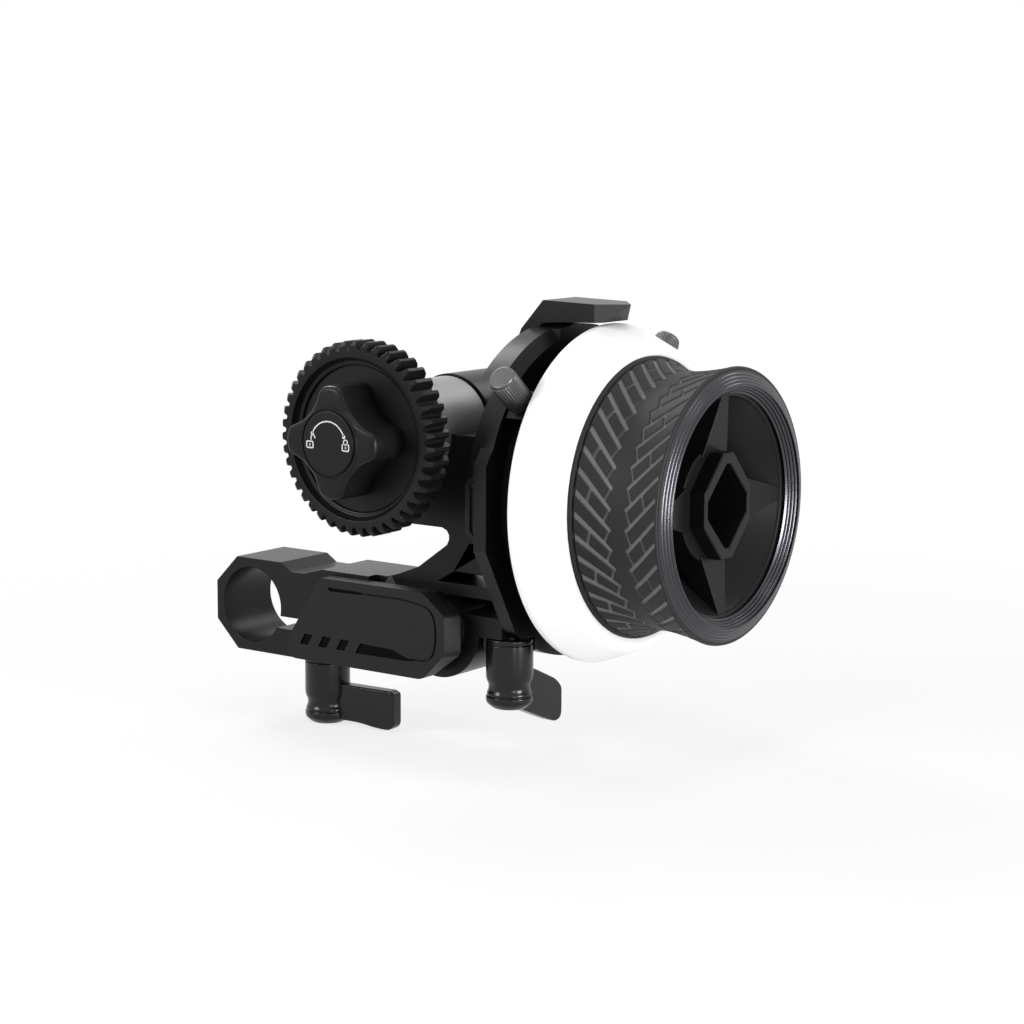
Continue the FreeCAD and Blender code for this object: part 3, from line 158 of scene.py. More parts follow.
# blasted and dyed aluminium: a near-black satin with a fine even sparkle, soft light along edges
blackAnodised = grainedFinish("black anodised aluminium", {
    "colour": "#0d0d0e", "cloudColour": "#101011", "roughness": 0.33, "roughSpread": 0.05,
    "grainMm": 0.16, "cloudMm": 9.0, "bumpMm": 0.006, "specular": 0.2})
# turned and dyed lever metal: smoother than the castings, tall soft highlights down each barrel
leverAnodised = grainedFinish("smooth black anodised aluminium", {
    "colour": "#0d0d0e", "cloudColour": "#101011", "roughness": 0.22, "roughSpread": 0.03,
    "grainMm": 0.2, "cloudMm": 9.0, "bumpMm": 0.002, "specular": 0.3})
# soft-touch moulded cover: darker and duller than the casting, no sharp reflections
coverPlastic = grainedFinish("matte cover plastic", {
    "colour": "#121213", "cloudColour": "#151515", "roughness": 0.45, "roughSpread": 0.05,
    "grainMm": 0.22, "cloudMm": 7.0, "bumpMm": 0.008, "specular": 0.2})
# smooth inlays sunk in the cover: deeper black than the cover round them
inlayGloss = grainedFinish("smooth black inlay", {
    "colour": "#050505", "cloudColour": "#070707", "roughness": 0.25, "roughSpread": 0.03,
    "grainMm": 0.2, "cloudMm": 5.0, "bumpMm": 0.001, "specular": 0.04})
# moulded glass-filled nylon of the gear and knob: dull black, a little gloss on worn tooth flanks
gearNylon = grainedFinish("moulded gear nylon", {
    "colour": "#0f0f10", "cloudColour": "#131314", "roughness": 0.36, "roughSpread": 0.06,
    "grainMm": 0.2, "cloudMm": 5.0, "bumpMm": 0.007, "specular": 0.16})
# moulded ABS of the wheel's dish: even fine texture, broad soft reflections on each facet
wheelPlastic = grainedFinish("moulded wheel ABS", {
    "colour": "#0f0f10", "cloudColour": "#121213", "roughness": 0.38, "roughSpread": 0.05,
    "grainMm": 0.2, "cloudMm": 8.0, "bumpMm": 0.006, "specular": 0.15})
# writable white acetal: smooth, matt, slightly warm in shade
markingAcetal = grainedFinish("matte white acetal", {
    "colour": "#f2f2f2", "cloudColour": "#eeeeee", "roughness": 0.55, "roughSpread": 0.04,
    "grainMm": 0.25, "cloudMm": 12.0, "bumpMm": 0.003, "ior": 1.48})
# vulcanised rubber: charcoal, no gloss on the blocks, a smoother skin in the grooves whose paler grey is
# painted sheen
gripRubber = treadFinish("moulded grip rubber", {
    "colour": "#1d1d1d", "floorColourAndGrooveSheen": "#6a6a6a", "roughness": 0.6, "floorRoughness": 0.42,
    "grainMm": 0.18, "bumpMm": 0.006, "specular": 0.22, "ior": 1.52})
# clear anodised turned aluminium: bright, with soft bands along the sleeve
sleeveAluminium = turnedFinish("turned aluminium", {
    "axis": 1, "colour": "#98989a", "cloudColour": "#a0a0a2", "metallic": 0.6, "roughness": 0.5,
    "roughSpread": 0.03, "lineMm": 0.12, "cloudMm": 6.0, "bumpMm": 0.003})
# dark anodised turned ring: gun-metal, its ridges catch thin bright lines
bezelAluminium = turnedFinish("dark turned aluminium", {
    "axis": 0, "colour": "#444448", "cloudColour": "#4a4a4e", "metallic": 1.0, "roughness": 0.26,
    "roughSpread": 0.02, "lineMm": 0.8, "cloudMm": 6.0, "bumpMm": 0.0001})
# knurled steel thumb screws and stop blocks: bright grey with a dull ground grain
knurledSteel = grainedFinish("ground steel", {
    "colour": "#585858", "cloudColour": "#646464", "metallic": 1.0, "roughness": 0.42,
    "roughSpread": 0.06, "grainMm": 0.14, "cloudMm": 3.0, "bumpMm": 0.004})
# black oxide screws: dark, oily looking
blackSteel = grainedFinish("black oxide steel", {
    "colour": "#2c2c2e", "cloudColour": "#262628", "metallic": 1.0, "roughness": 0.4,
    "roughSpread": 0.06, "grainMm": 0.15, "cloudMm": 2.0, "bumpMm": 0.004})
# machined steel of the hidden gears, shafts and bearings
machinedSteel = grainedFinish("machined steel", {
    "colour": "#8f8f92", "cloudColour": "#9b9b9e", "metallic": 1.0, "roughness": 0.3,
    "roughSpread": 0.05, "grainMm": 0.2, "cloudMm": 3.0, "bumpMm": 0.003})
# sintered bronze of the lay shaft's bushes: brown, porous
bushBronze = grainedFinish("sintered bronze", {
    "colour": "#8a6a3e", "cloudColour": "#7c5f38", "metallic": 1.0, "roughness": 0.45,
    "roughSpread": 0.08, "grainMm": 0.12, "cloudMm": 1.5, "bumpMm": 0.006})
# screen-printed white marks on the lock knob
markInk = grainedFinish("white screen ink", {
    "colour": "#d8d8d8", "cloudColour": "#cfcfcf", "roughness": 0.6, "roughSpread": 0.05,
    "grainMm": 0.1, "cloudMm": 1.0, "bumpMm": 0.002})
print("finishes made")

slotFinish = {
    "black_anodised": blackAnodised, "cover_plastic": coverPlastic, "bright_aluminium": sleeveAluminium,
    "screw_steel": blackSteel, "bright_steel": knurledSteel, "bearing_steel": machinedSteel,
    "gear_steel": machinedSteel, "bush_bronze": bushBronze, "gear_plastic": gearNylon,
    "wheel_plastic": wheelPlastic, "grip_rubber": gripRubber, "marking_white": markingAcetal,
    "bezel_gunmetal": bezelAluminium,
}
solidLook = {"sharp": 28, "weld": 0.002, "flat": 1.0}


def shadeSmooth(mesh, sharpAngle):
    mesh.polygons.foreach_set("use_smooth", [True] * len(mesh.polygons))
    mesh.set_sharp_from_angle(angle=math.radians(sharpAngle))


for part in frame["record"]["subparts"]:
    solid = frame["nodes"][part["node"]]
    solid.data.materials.clear()
    solid.data.materials.append(slotFinish[part["material_slot"]])
    shadeSmooth(solid.data, solidLook["sharp"])


def roundEdges(piece, width, segments=3, angle=30):
    edge = piece.modifiers.new("round edges", "BEVEL")
    edge.width = width * mm
    edge.segments = segments
    edge.limit_method = "ANGLE"
    edge.angle_limit = math.radians(angle)
    edge.harden_normals = True
    return edge


# welds a solid and joins its flat faces first, so that each edge is rounded in one run
def softenSolid(node, width, segments):
    solid = frame["nodes"][node]
    weld = solid.modifiers.new("weld", "WELD")
    weld.merge_threshold = solidLook["weld"] * mm
    flat = solid.modifiers.new("flat faces", "DECIMATE")
    flat.decimate_type = "DISSOLVE"
    flat.angle_limit = math.radians(solidLook["flat"])
    roundEdges(solid, width, segments, solidLook["sharp"]).miter_outer = "MITER_ARC"
    even = solid.modifiers.new("flat stays flat", "WEIGHTED_NORMAL")
    even.weight = 100
    even.keep_sharp = True


def spot(axis, along, first, second):
    return {"x": (along, first, second), "y": (first, along, second), "z": (first, second, along)}[axis]


def linked(name, data):
    thing = bpy.data.objects.new(name, data)
    bpy.context.scene.collection.objects.link(thing)
    return thing


def builtMesh(name, points, faces):
    mesh = bpy.data.meshes.new(name)
    mesh.from_pydata([(x * mm, y * mm, z * mm) for x, y, z in points], [], faces)
    shape = bmesh.new()
    shape.from_mesh(mesh)
    bmesh.ops.recalc_face_normals(shape, faces=shape.faces)
    shape.to_mesh(mesh)
    shape.free()
    return mesh


def addPiece(name, points, faces, finish, body, slot, replaces=(), sharpAngle=32):
    mesh = builtMesh(name, points, faces)
    shadeSmooth(mesh, sharpAngle)
    mesh.materials.append(finish)
    piece = linked(name, mesh)
    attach(piece, body)
    if replaces:
        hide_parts(*replaces)
    return piece


# skins rings of (along, radius, angle) points one to the next, round an axis
def skinRings(axis, centre, rings, closed=False):
    points, faces = [], []
    count = len(rings[0])
    for ring in rings:
        for along, radius, angle in ring:
            points.append(spot(axis, along, centre[0] + radius * math.cos(angle),
                               centre[1] + radius * math.sin(angle)))
    steps = [(n, n + 1) for n in range(len(rings) - 1)]
    if closed:
        steps.append((len(rings) - 1, 0))
    for a, b in steps:
        for k in range(count):
            after = (k + 1) % count
            faces.append((a * count + k, a * count + after, b * count + after, b * count + k))
    if not closed:
        faces.append(tuple(range(count)))
        faces.append(tuple((len(rings) - 1) * count + k for k in range(count)))
    return points, faces


def evenAngles(count):
    return [2 * math.pi * k / count for k in range(count)]


# rounds the corners of an outline; a point may carry its own radius as a third number
def roundedOutline(outline, radius, steps=4):
    result = []
    count = len(outline)
    for k, corner in enumerate(outline):
        before, after = outline[k - 1], outline[(k + 1) % count]
        own = corner[2] if len(corner) > 2 else radius
        here = Vector(corner[:2])
        back, on = Vector(before[:2]) - here, Vector(after[:2]) - here
        if own <= 0 or min(back.length, on.length) < 1e-6:
            result.append(tuple(here))
            continue
        start = here + back.normalized() * min(own, back.length * 0.45)
        end = here + on.normalized() * min(own, on.length * 0.45)
        for step in range(steps + 1):
            t = step / steps
            result.append(tuple(start * (1 - t) ** 2 + here * 2 * t * (1 - t) + end * t ** 2))
    return result


def turnedPiece(name, axis, centre, profile, finish, body, slot, replaces=(), count=192, edge=0.2,
                closed=True, sharpAngle=32):
    angles = evenAngles(count)
    line = roundedOutline(profile, edge) if edge else profile
    rings = [[(along, radius, a) for a in angles] for along, radius in line]
    points, faces = skinRings(axis, centre, rings, closed)
    return addPiece(name, points, faces, finish, body, slot, replaces, sharpAngle)


# a flat shape drawn out along an axis; outline points are the other two directions in order
def slabShape(axis, outline, start, end):
    count = len(outline)
    points = [spot(axis, start, u, v) for u, v in outline] + [spot(axis, end, u, v) for u, v in outline]
    faces = [tuple(range(count)), tuple(range(2 * count - 1, count - 1, -1))]
    faces += [(k, (k + 1) % count, count + (k + 1) % count, count + k) for k in range(count)]
    return points, faces


def joinShapes(shapes):
    points, faces = [], []
    for shapePoints, shapeFaces in shapes:
        base = len(points)
        points += shapePoints
        faces += [tuple(base + k for k in face) for face in shapeFaces]
    return points, faces


def polygonRadius(angle, sides):
    return min(distance / max(1e-6, math.cos(angle - math.radians(facing)))
               for facing, distance in sides if math.cos(angle - math.radians(facing)) > 0.05)


# drive gear: sloped tooth ends, a smooth band, a steep step down to the web and a low ledge round it
gearLook = {
    "teeth": 43, "tipRadius": 18.0, "endRadius": 17.05, "front": -21.3, "back": -14.9,
    # degrees from the tooth's middle, radius
    "toothSide": [(3.35, 16.24), (2.95, 16.4), (2.45, 16.8), (1.98, 17.2), (1.55, 17.6), (1.25, 17.9),
                  (1.0, 18.0)],
    "faceProfile": [(-21.3, 15.25), (-21.24, 15.0), (-20.12, 14.38), (-20.03, 14.25), (-20.0, 14.1),
                    (-20.0, 13.8), (-19.94, 13.66), (-19.5, 13.46), (-19.41, 13.34), (-19.4, 13.1),
                    (-19.4, 5.02), (-16.92, 5.02), (-16.92, 8.52), (-14.9, 8.52)],
}


def makeDriveGear(look):
    side = look["toothSide"]
    pitch = 360 / look["teeth"]
    outline = []
    for tooth in range(look["teeth"]):
        for away, radius in [(-a, r) for a, r in side] + [(a, r) for a, r in reversed(side)]:
            outline.append((math.radians(90 + tooth * pitch + away), radius))
    front, back, tip, end = look["front"], look["back"], look["tipRadius"], look["endRadius"]
    slope = tip - end

    def toothRing(place, limit):
        return [(place, min(radius, limit), angle) for angle, radius in outline]

    rings = [toothRing(back, end), toothRing(back - slope * 0.5, tip - slope * 0.5),
             toothRing(back - slope, tip), toothRing(front + slope, tip),
             toothRing(front + slope * 0.5, tip - slope * 0.5), toothRing(front, end)]
    rings += [[(place, radius, angle) for angle, _ in outline] for place, radius in look["faceProfile"]]
    points, faces = skinRings("y", gearAxis, rings, closed=True)
    addPiece("driveGearTeeth", points, faces, gearNylon, "output", "gear_plastic", ["drive_gear"],
             sharpAngle=28)


makeDriveGear(gearLook)
print("drive gear")

# gear lock knob: four lobes with soft edges, a raised round face inside a fine ring
knobLook = {
    "front": -28.46, "smooth": 2,
    # degrees from the lobe's middle, radius
    "lobeShape": [(0, 10.4), (6, 10.38), (10, 10.25), (13, 9.97), (16, 9.5), (18.5, 8.98), (21, 8.55),
                  (24, 8.15), (28, 7.72), (33, 7.42), (39, 7.25), (45, 7.2)],
    "faceProfile": [(-28.46, 0.05), (-28.46, 5.4), (-28.46, 5.65), (-28.42, 5.8), (-28.05, 5.92),
                    (-28.05, 6.17), (-28.28, 6.27), (-28.28, 6.45), (-28.1, 6.6)],
    # place, distance inside the lobes' outline
    "lobeProfile": [(-28.1, 0.95), (-28.05, 0.6), (-27.88, 0.28), (-27.6, 0.07), (-27.25, 0.0),
                    (-20.3, -0.1), (-19.95, 0.0), (-19.8, 0.3)],
    "boreProfile": [(-19.8, 2.6), (-26.16, 2.6), (-26.16, 0.05)],
}


def lobeRadius(angle, shape):
    away = abs((math.degrees(angle) + 45) % 90 - 45)
    for (a0, r0), (a1, r1) in zip(shape, shape[1:]):
        if away <= a1:
            t = (away - a0) / (a1 - a0)
            return r0 + (r1 - r0) * t
    return shape[-1][1]


def makeLockKnob(look):
    angles = evenAngles(360)
    raw = [lobeRadius(a, look["lobeShape"]) for a in angles]
    window = range(-look["smooth"], look["smooth"] + 1)
    lobes = [sum(raw[(k + n) % 360] for n in window) / len(window) for k in range(360)]
    rings = [[(place, radius, a) for a in angles] for place, radius in look["faceProfile"]]
    rings += [[(place, r - inset, a) for r, a in zip(lobes, angles)]
              for place, inset in look["lobeProfile"]]
    rings += [[(place, radius, a) for a in angles] for place, radius in look["boreProfile"]]
    points, faces = skinRings("y", gearAxis, rings)
    addPiece("lockKnobLobes", points, faces, gearNylon, "lock_knob", "gear_plastic", ["gear_lock_knob"],
             sharpAngle=40)


makeLockKnob(knobLook)

# printed marks on the knob: an arc with dots at its ends, an open and a closed padlock
marksLook = {
    "line": 0.24, "thick": 0.035, "arcRadius": 4.0, "arcStart": 22, "arcEnd": 156,
    "dotRadius": 0.18, "dotLine": 0.345, "bodyWidth": 1.5, "bodyHeight": 1.15, "bodyCorner": 0.25,
    "hoopRadius": 0.45, "hoopRise": 0.4, "hoopFoot": 0.1, "hoopLine": 0.216, "keyhole": 0.22,
    # middle of the padlock, how far its hoop is lifted and moved over, where the hoop's free foot ends
    "padlocks": [((-4.25, -0.45), 0.35, 0.75, 0.25), ((4.1, -0.45), 0.0, 0.0, -0.1)],
}


def strokeShape(line, width, place, thick, closed=False):
    left, right = [], []
    count = len(line)
    for k in range(count):
        before = Vector(line[k - 1] if k or closed else line[k])
        after = Vector(line[(k + 1) % count] if k < count - 1 or closed else line[k])
        heading = (after - before).normalized()
        side = Vector((-heading.y, heading.x)) * width / 2
        here = Vector(line[k])
        left.append(here + side)
        right.append(here - side)
    points, faces = [], []
    for edgeLine in (left, right):
        for level in (place, place + thick):
            points += [(gearAxis[0] + p.x, level, gearAxis[1] + p.y) for p in edgeLine]
    leftBack, rightFront, rightBack = count, 2 * count, 3 * count
    for k in range(count if closed else count - 1):
        n = (k + 1) % count
        faces += [(k, n, rightFront + n, rightFront + k),
                  (leftBack + k, leftBack + n, rightBack + n, rightBack + k),
                  (k, n, leftBack + n, leftBack + k),
                  (rightFront + k, rightFront + n, rightBack + n, rightBack + k)]
    if not closed:
        faces += [(0, leftBack, rightBack, rightFront),
                  (count - 1, rightFront - 1, rightBack + count - 1, rightBack - 1)]
    return points, faces


def arcLine(centre, radius, start, end, steps):
    return [(centre[0] + radius * math.cos(math.radians(start + (end - start) * k / steps)),
             centre[1] + radius * math.sin(math.radians(start + (end - start) * k / steps)))
            for k in range(steps + 1)]


def makeMarks(look):
    thick, line, arc = look["thick"], look["line"], look["arcRadius"]
    place = knobLook["front"] - thick
    shapes = [strokeShape(arcLine((0, 0), arc, look["arcStart"], look["arcEnd"], 40), line, place, thick)]
    for angle in (look["arcStart"], look["arcEnd"]):
        centre = (arc * math.cos(math.radians(angle)), arc * math.sin(math.radians(angle)))
        dot = arcLine(centre, look["dotRadius"], 0, 345, 23)
        shapes.append(strokeShape(dot, look["dotLine"], place, thick, True))
    half, tall = look["bodyWidth"] / 2, look["bodyHeight"] / 2
    hoop = look["hoopRadius"]
    for (cx, cz), lift, slip, freeFoot in look["padlocks"]:
        body = [(cx - half, cz - tall), (cx + half, cz - tall),
                (cx + half, cz + tall), (cx - half, cz + tall)]
        shapes.append(strokeShape(roundedOutline(body, look["bodyCorner"]), line, place, thick, True))
        bow = [(cx + slip - hoop, cz + tall - look["hoopFoot"] + lift)]
        bow += arcLine((cx + slip, cz + tall + look["hoopRise"] + lift), hoop, 180, 0, 12)
        bow += [(cx + slip + hoop, cz + tall + freeFoot + lift)]
        shapes.append(strokeShape(bow, look["hoopLine"], place, thick))
        keyhole = [(cx, cz - look["keyhole"]), (cx, cz + look["keyhole"])]
        shapes.append(strokeShape(keyhole, line, place, thick))
    addPiece("lockKnobMarks", *joinShapes(shapes), markInk, "lock_knob", "marking_white")


makeMarks(marksLook)
print("lock knob and its marks")

# bright sleeve behind the gear, with a narrower neck that sits in the housing
sleeveLook = {
    "profile": [(-14.5, 4.25), (-14.5, 9.4), (7.3, 9.4), (7.3, 8.0), (9.3, 8.0), (9.3, 4.25)],
    "edge": 0.3,
}
turnedPiece("bearingSleeveTurned", "y", gearAxis, sleeveLook["profile"], sleeveAluminium, "gearbox",
            "bright_aluminium", ["bearing_sleeve"], edge=sleeveLook["edge"])

# white marking ring: a shallow cone with rounded rims
ringLook = {
    "profile": [(68.4, 30.2), (68.4, 31.9, 0.5), (69.6, 31.9, 0.6), (76.9, 28.75, 0.8),
                (77.7, 27.4, 0.5), (77.7, 26.34, 0.15), (70.6, 26.34), (70.6, 30.2)],
    "edge": 0.15,
}
turnedPiece("markingRingTurned", "x", wheelAxis, ringLook["profile"], markingAcetal, "handwheel",
            "marking_white", ["marking_ring"], edge=ringLook["edge"], count=256)

# bezel: three fine ridges on the outer slope and three on the inner one
bezelLook = {
    "back": [(94.4, 20.6), (94.4, 23.0), (95.5, 23.0), (95.5, 24.88)],
    "rim": (95.9, 24.88), "crest": (97.2, 22.3), "inner": (95.05, 20.6),
    "crestOuter": (97.12, 22.5), "crestInner": (97.12, 22.1),
    "ridges": 3, "ridgeSteps": 8, "ridgeHeight": 0.13, "ridgeSharpness": 0.7, "plainShare": 0.16,
}


def ridgedSlope(start, end, look):
    line = []
    dx, dr = end[0] - start[0], end[1] - start[1]
    length = math.hypot(dx, dr)
    out = (-dr / length, dx / length)
    if out[0] < 0:
        out = (-out[0], -out[1])
    share = look["plainShare"]
    steps = look["ridges"] * look["ridgeSteps"]
    for n in range(steps + 1):
        t = n / steps
        wave = abs(math.sin(math.pi * look["ridges"] * t)) ** look["ridgeSharpness"] - 1
        along = share + (1 - 2 * share) * t
        lift = look["ridgeHeight"] * wave
        line.append((start[0] + dx * along + out[0] * lift, start[1] + dr * along + out[1] * lift))
    return line


def makeBezel(look):
    profile = look["back"] + [look["rim"]] + ridgedSlope(look["rim"], look["crest"], look)
    profile += [look["crestOuter"], look["crest"], look["crestInner"]]
    profile += ridgedSlope(look["crest"], look["inner"], look) + [look["inner"]]
    turnedPiece("bezelRingTurned", "x", wheelAxis, profile, bezelAluminium, "handwheel",
                "bezel_gunmetal", ["bezel_ring"], edge=0, count=288, sharpAngle=50)


makeBezel(bezelLook)
print("sleeve, marking ring and bezel")

# rubber grip: two rows of slanted cuts, mirrored about a plain band, forty repeats round the wheel
gripLook = {
    "rear": [(70.7, 21.84), (70.7, 26.26), (77.5, 26.26), (77.75, 26.3), (77.95, 26.25), (78.15, 26.05),
             (78.28, 25.7), (78.32, 25.2), (78.5, 25.2), (78.54, 25.5)],
    "front": [(95.4, 25.5), (95.62, 25.44), (95.78, 25.3), (95.86, 25.1), (95.86, 24.93), (95.5, 24.91),
              (95.5, 23.03), (93.0, 23.03), (93.0, 21.84)],
    "treadStart": 78.64, "treadEnd": 95.1, "waist": 85.5, "waistRadius": 24.0,
    "beadStart": 77.7, "beadRadius": 26.3, "beadCurve": 2, "flareEnd": 95.5, "flareRadius": 25.5,
    "flareCurve": 1.6, "meanRadius": 24.6,
    "repeats": 40, "columns": 36, "step": 0.115, "depth": 0.4, "softness": 0.16,
    "rows": [
        # where a row starts, its cuts as x, degrees, x, degrees, width, and the tick on every second one
        (8.5, [(78.65, 0, 84.87, 15.1, 0.83), (84.87, 15.1, 83.85, 20.2, 0.42)],
         (81.3, 6.4, 80.55, 13.6, 0.42)),
        (8.6, [(95.1, 0, 88.5, 14.6, 0.7055), (88.5, 14.6, 89.4, 20.0, 0.42)],
         (91.9, 7.1, 92.85, 14.0, 0.42))],
}


def gripRadius(x, look):
    waist, low = look["waist"], look["waistRadius"]
    if x < waist:
        share = (waist - x) / (waist - look["beadStart"])
        return low + (look["beadRadius"] - low) * share ** look["beadCurve"]
    share = (x - waist) / (look["flareEnd"] - waist)
    return low + (look["flareRadius"] - low) * share ** look["flareCurve"]


def treadCuts(look):
    cuts = []
    for k in range(-5, 6):
        for start, marks, tick in look["rows"]:
            own = start + 360 / look["repeats"] * k
            for x0, a0, x1, a1, width in marks + [tick] * (k % 2):
                cuts.append((x0, own + a0, x1, own + a1, width))
    return cuts


def cutDepth(x, degrees, cuts, look):
    best = 0.0
    girth = math.radians(look["meanRadius"])     # mm round the grip for one degree
    softness = look["softness"]
    for x0, a0, x1, a1, width in cuts:
        dx, ds = x1 - x0, (a1 - a0) * girth
        px, ps = x - x0, (degrees - a0) * girth
        t = min(1.0, max(0.0, (px * dx + ps * ds) / (dx * dx + ds * ds)))
        away = math.hypot(px - dx * t, ps - ds * t)
        inside = (width / 2 + softness / 2 - away) / softness
        if inside > best:
            best = min(1.0, inside)
    return best * best * (3 - 2 * best)


def makeGrip(look):
    count = look["repeats"] * look["columns"]
    tileColumns = look["columns"] * 2
    tileDegrees = 360 / look["repeats"] * 2
    angles = evenAngles(count)
    cuts = treadCuts(look)
    rings = [[(along, radius, a) for a in angles] for along, radius in look["rear"]]
    depths = [[0.0] * count for _ in look["rear"]]
    start, length = look["treadStart"], look["treadEnd"] - look["treadStart"]
    rows = int(length / look["step"])
    for row in range(rows + 1):
        x = start + length * row / rows
        radius = gripRadius(x, look)
        tile = [cutDepth(x, tileDegrees * k / tileColumns, cuts, look) for k in range(tileColumns)]
        line = [tile[k % tileColumns] for k in range(count)]
        rings.append([(x, radius - look["depth"] * depth, a) for depth, a in zip(line, angles)])
        depths.append(line)
    rings += [[(along, radius, a) for a in angles] for along, radius in look["front"]]
    depths += [[0.0] * count for _ in look["front"]]
    points, faces = skinRings("x", wheelAxis, rings, closed=True)
    grip = addPiece("gripTread", points, faces, gripRubber, "handwheel", "grip_rubber", ["grip_sleeve"],
                    sharpAngle=180)
    groove = grip.data.attributes.new("groove", "FLOAT", "POINT")
    groove.data.foreach_set("value", [depth for line in depths for depth in line])


makeGrip(gripLook)
print("grip")

# wheel core: deep dish, four star points, a round boss and the framed crank socket
coreLook = {
    "shell": [(70.6, 4.02), (70.6, 21.8), (93.0, 21.8), (93.0, 23.0), (94.4, 23.0), (94.4, 20.5),
              (94.3, 20.1, 0.1), (93.9, 19.9, 0.2), (85.2, 12.6, 1.2), (85.2, 9.0), (83.9, 9.0),
              (83.9, 1.5), (82.0, 1.5), (82.0, 4.02)],
    # place, radius, half width of a point's tip and root
    "pointTip": (94.1, 20.1, 1.2), "pointRoot": (92.0, 9.0, 4.3), "pointBase": 86.0,
    "tipSink": 2.0, "pointFlare": 0.3, "pointEdge": 0.18,
    "bossFoot": (85.0, 11.0), "bossRadius": 10.7, "bossTop": 91.8, "bossEdge": 0.25,
    "frameTop": 95.0, "frameEdge": 0.22, "socketEdge": 0.2, "socketFloor": 84.0,
    "screwHole": 1.6, "screwDepth": 0.5,
    # the way each side faces in degrees, its distance from the axis
    "frameSides": [(90, 9.8), (270, 9.8), (0, 7.9), (180, 7.9), (43, 8.0), (137, 8.0), (223, 8.0),
                   (317, 8.0)],
    "socketSides": [(90, 7.75), (270, 7.75), (0, 6.85), (180, 6.85), (45, 5.94), (135, 5.94),
                    (225, 5.94), (315, 5.94)],
}


def starPoint(look, angle):
    tipX, tipR, tipHalf = look["pointTip"]
    rootX, rootR, rootHalf = look["pointRoot"]
    base, sunk, flare = look["pointBase"], tipX - look["tipSink"], look["pointFlare"]
    flat = [(tipX, tipR, tipHalf), (tipX, tipR, -tipHalf),
            (rootX, rootR, -rootHalf), (rootX, rootR, rootHalf),
            (sunk, tipR + flare, tipHalf), (sunk, tipR + flare, -tipHalf),
            (base, rootR, -rootHalf - flare), (base, rootR, rootHalf + flare)]
    c, s = math.cos(angle), math.sin(angle)
    points = [(x, wheelAxis[0] + r * c - w * s, wheelAxis[1] + r * s + w * c) for x, r, w in flat]
    faces = [(0, 1, 2, 3), (4, 5, 6, 7), (0, 1, 5, 4), (1, 2, 6, 5), (2, 3, 7, 6), (3, 0, 4, 7)]
    return points, faces


def makeCore(look):
    turnedPiece("wheelCoreDish", "x", wheelAxis, look["shell"], wheelPlastic, "handwheel",
                "wheel_plastic", ["handwheel_core"], edge=0.12, count=256)
    shapes = joinShapes([starPoint(look, math.radians(90 * k)) for k in range(4)])
    star = addPiece("wheelStarPoints", *shapes, wheelPlastic, "handwheel", "wheel_plastic")
    roundEdges(star, look["pointEdge"], 2)
    angles = evenAngles(288)
    frameEdge = [polygonRadius(a, look["frameSides"]) for a in angles]
    socket = [polygonRadius(a, look["socketSides"]) for a in angles]

    def hubRing(place, radii, inset):
        return [(place, r - inset, a) for r, a in zip(radii, angles)]

    def roundRing(place, radius):
        return [(place, radius, a) for a in angles]

    boss, top, level, floor = look["bossRadius"], look["frameTop"], look["bossTop"], look["socketFloor"]
    rings = [roundRing(*look["bossFoot"]), roundRing(level - look["bossEdge"], boss),
             roundRing(level, boss - look["bossEdge"]), hubRing(level, frameEdge, 0.0),
             hubRing(top - look["frameEdge"], frameEdge, 0.0), hubRing(top, frameEdge, look["frameEdge"]),
             hubRing(top, socket, -look["socketEdge"]), hubRing(top - look["socketEdge"], socket, 0.0),
             hubRing(floor, socket, 0.0), roundRing(floor, look["screwHole"]),
             roundRing(floor - look["screwDepth"], look["screwHole"])]
    points, faces = skinRings("x", wheelAxis, rings, closed=True)
    addPiece("wheelHubFrame", points, faces, wheelPlastic, "handwheel", "wheel_plastic", sharpAngle=30)


makeCore(coreLook)
print("wheel core")

# arm cover: a slab with a rounded loop groove, a thick bar, a slanted block and three slanted slots
coverLook = {
    "front": -10.5, "back": -7.0, "edge": 0.28, "reach": 1.0,
    "outline": [(13.4, -8.4, 1.0), (12.2, -7.0, 0.8), (12.4, -4.6, 1.2), (20.6, 8.2, 0.8),
                (45.4, 8.2, 1.2), (50.6, 4.2, 0.8), (50.6, -3.2, 0.8), (45.4, -8.4, 1.2)],
    "sideLean": 1.2, "leanFrom": 50,
    "grooveDepth": 0.5, "grooveWidth": 0.4, "inlay": 0.15, "inlayRoot": 0.1,
    "loop": [(29.5, 6.25, 0), (41.5, 6.35, 3.0), (48.6, 5.2, 5.0), (48.5, -4.6, 5.0), (42.5, -4.95, 0)],
    "bar": [(22.4, 6.55), (30.1, 6.5), (30.6, 6.0), (23.0, 5.8)],
    "block": [(30.5, -3.35), (38.6, -3.6), (40.6, -4.4), (43.0, -5.0), (42.6, -5.3), (29.2, -5.45)],
    "slots": (15.4, 20.0, 24.5), "slotWide": 2.05, "slotTall": 2.15, "slotLean": 1.25, "slotTop": -3.2,
}


def grooveOutline(look):
    loop = roundedOutline(look["loop"], 0, 8)
    half = look["grooveWidth"] / 2
    left, right = [], []
    for k, p in enumerate(loop):
        heading = (Vector(loop[min(k + 1, len(loop) - 1)]) - Vector(loop[max(k - 1, 0)])).normalized()
        left.append((p[0] - heading.y * half, p[1] + heading.x * half))
        right.append((p[0] + heading.y * half, p[1] - heading.x * half))
    return left + right[::-1]


def carve(piece, points, faces):
    cutter = linked("cutter", builtMesh("cutter", points, faces))
    cut = piece.modifiers.new("relief", "BOOLEAN")
    cut.operation = "DIFFERENCE"
    cut.solver = "EXACT"
    cut.object = cutter
    bpy.context.view_layer.update()
    carved = piece.evaluated_get(bpy.context.evaluated_depsgraph_get())
    done = bpy.data.meshes.new_from_object(carved)
    piece.modifiers.clear()
    piece.data = done
    bpy.data.objects.remove(cutter)


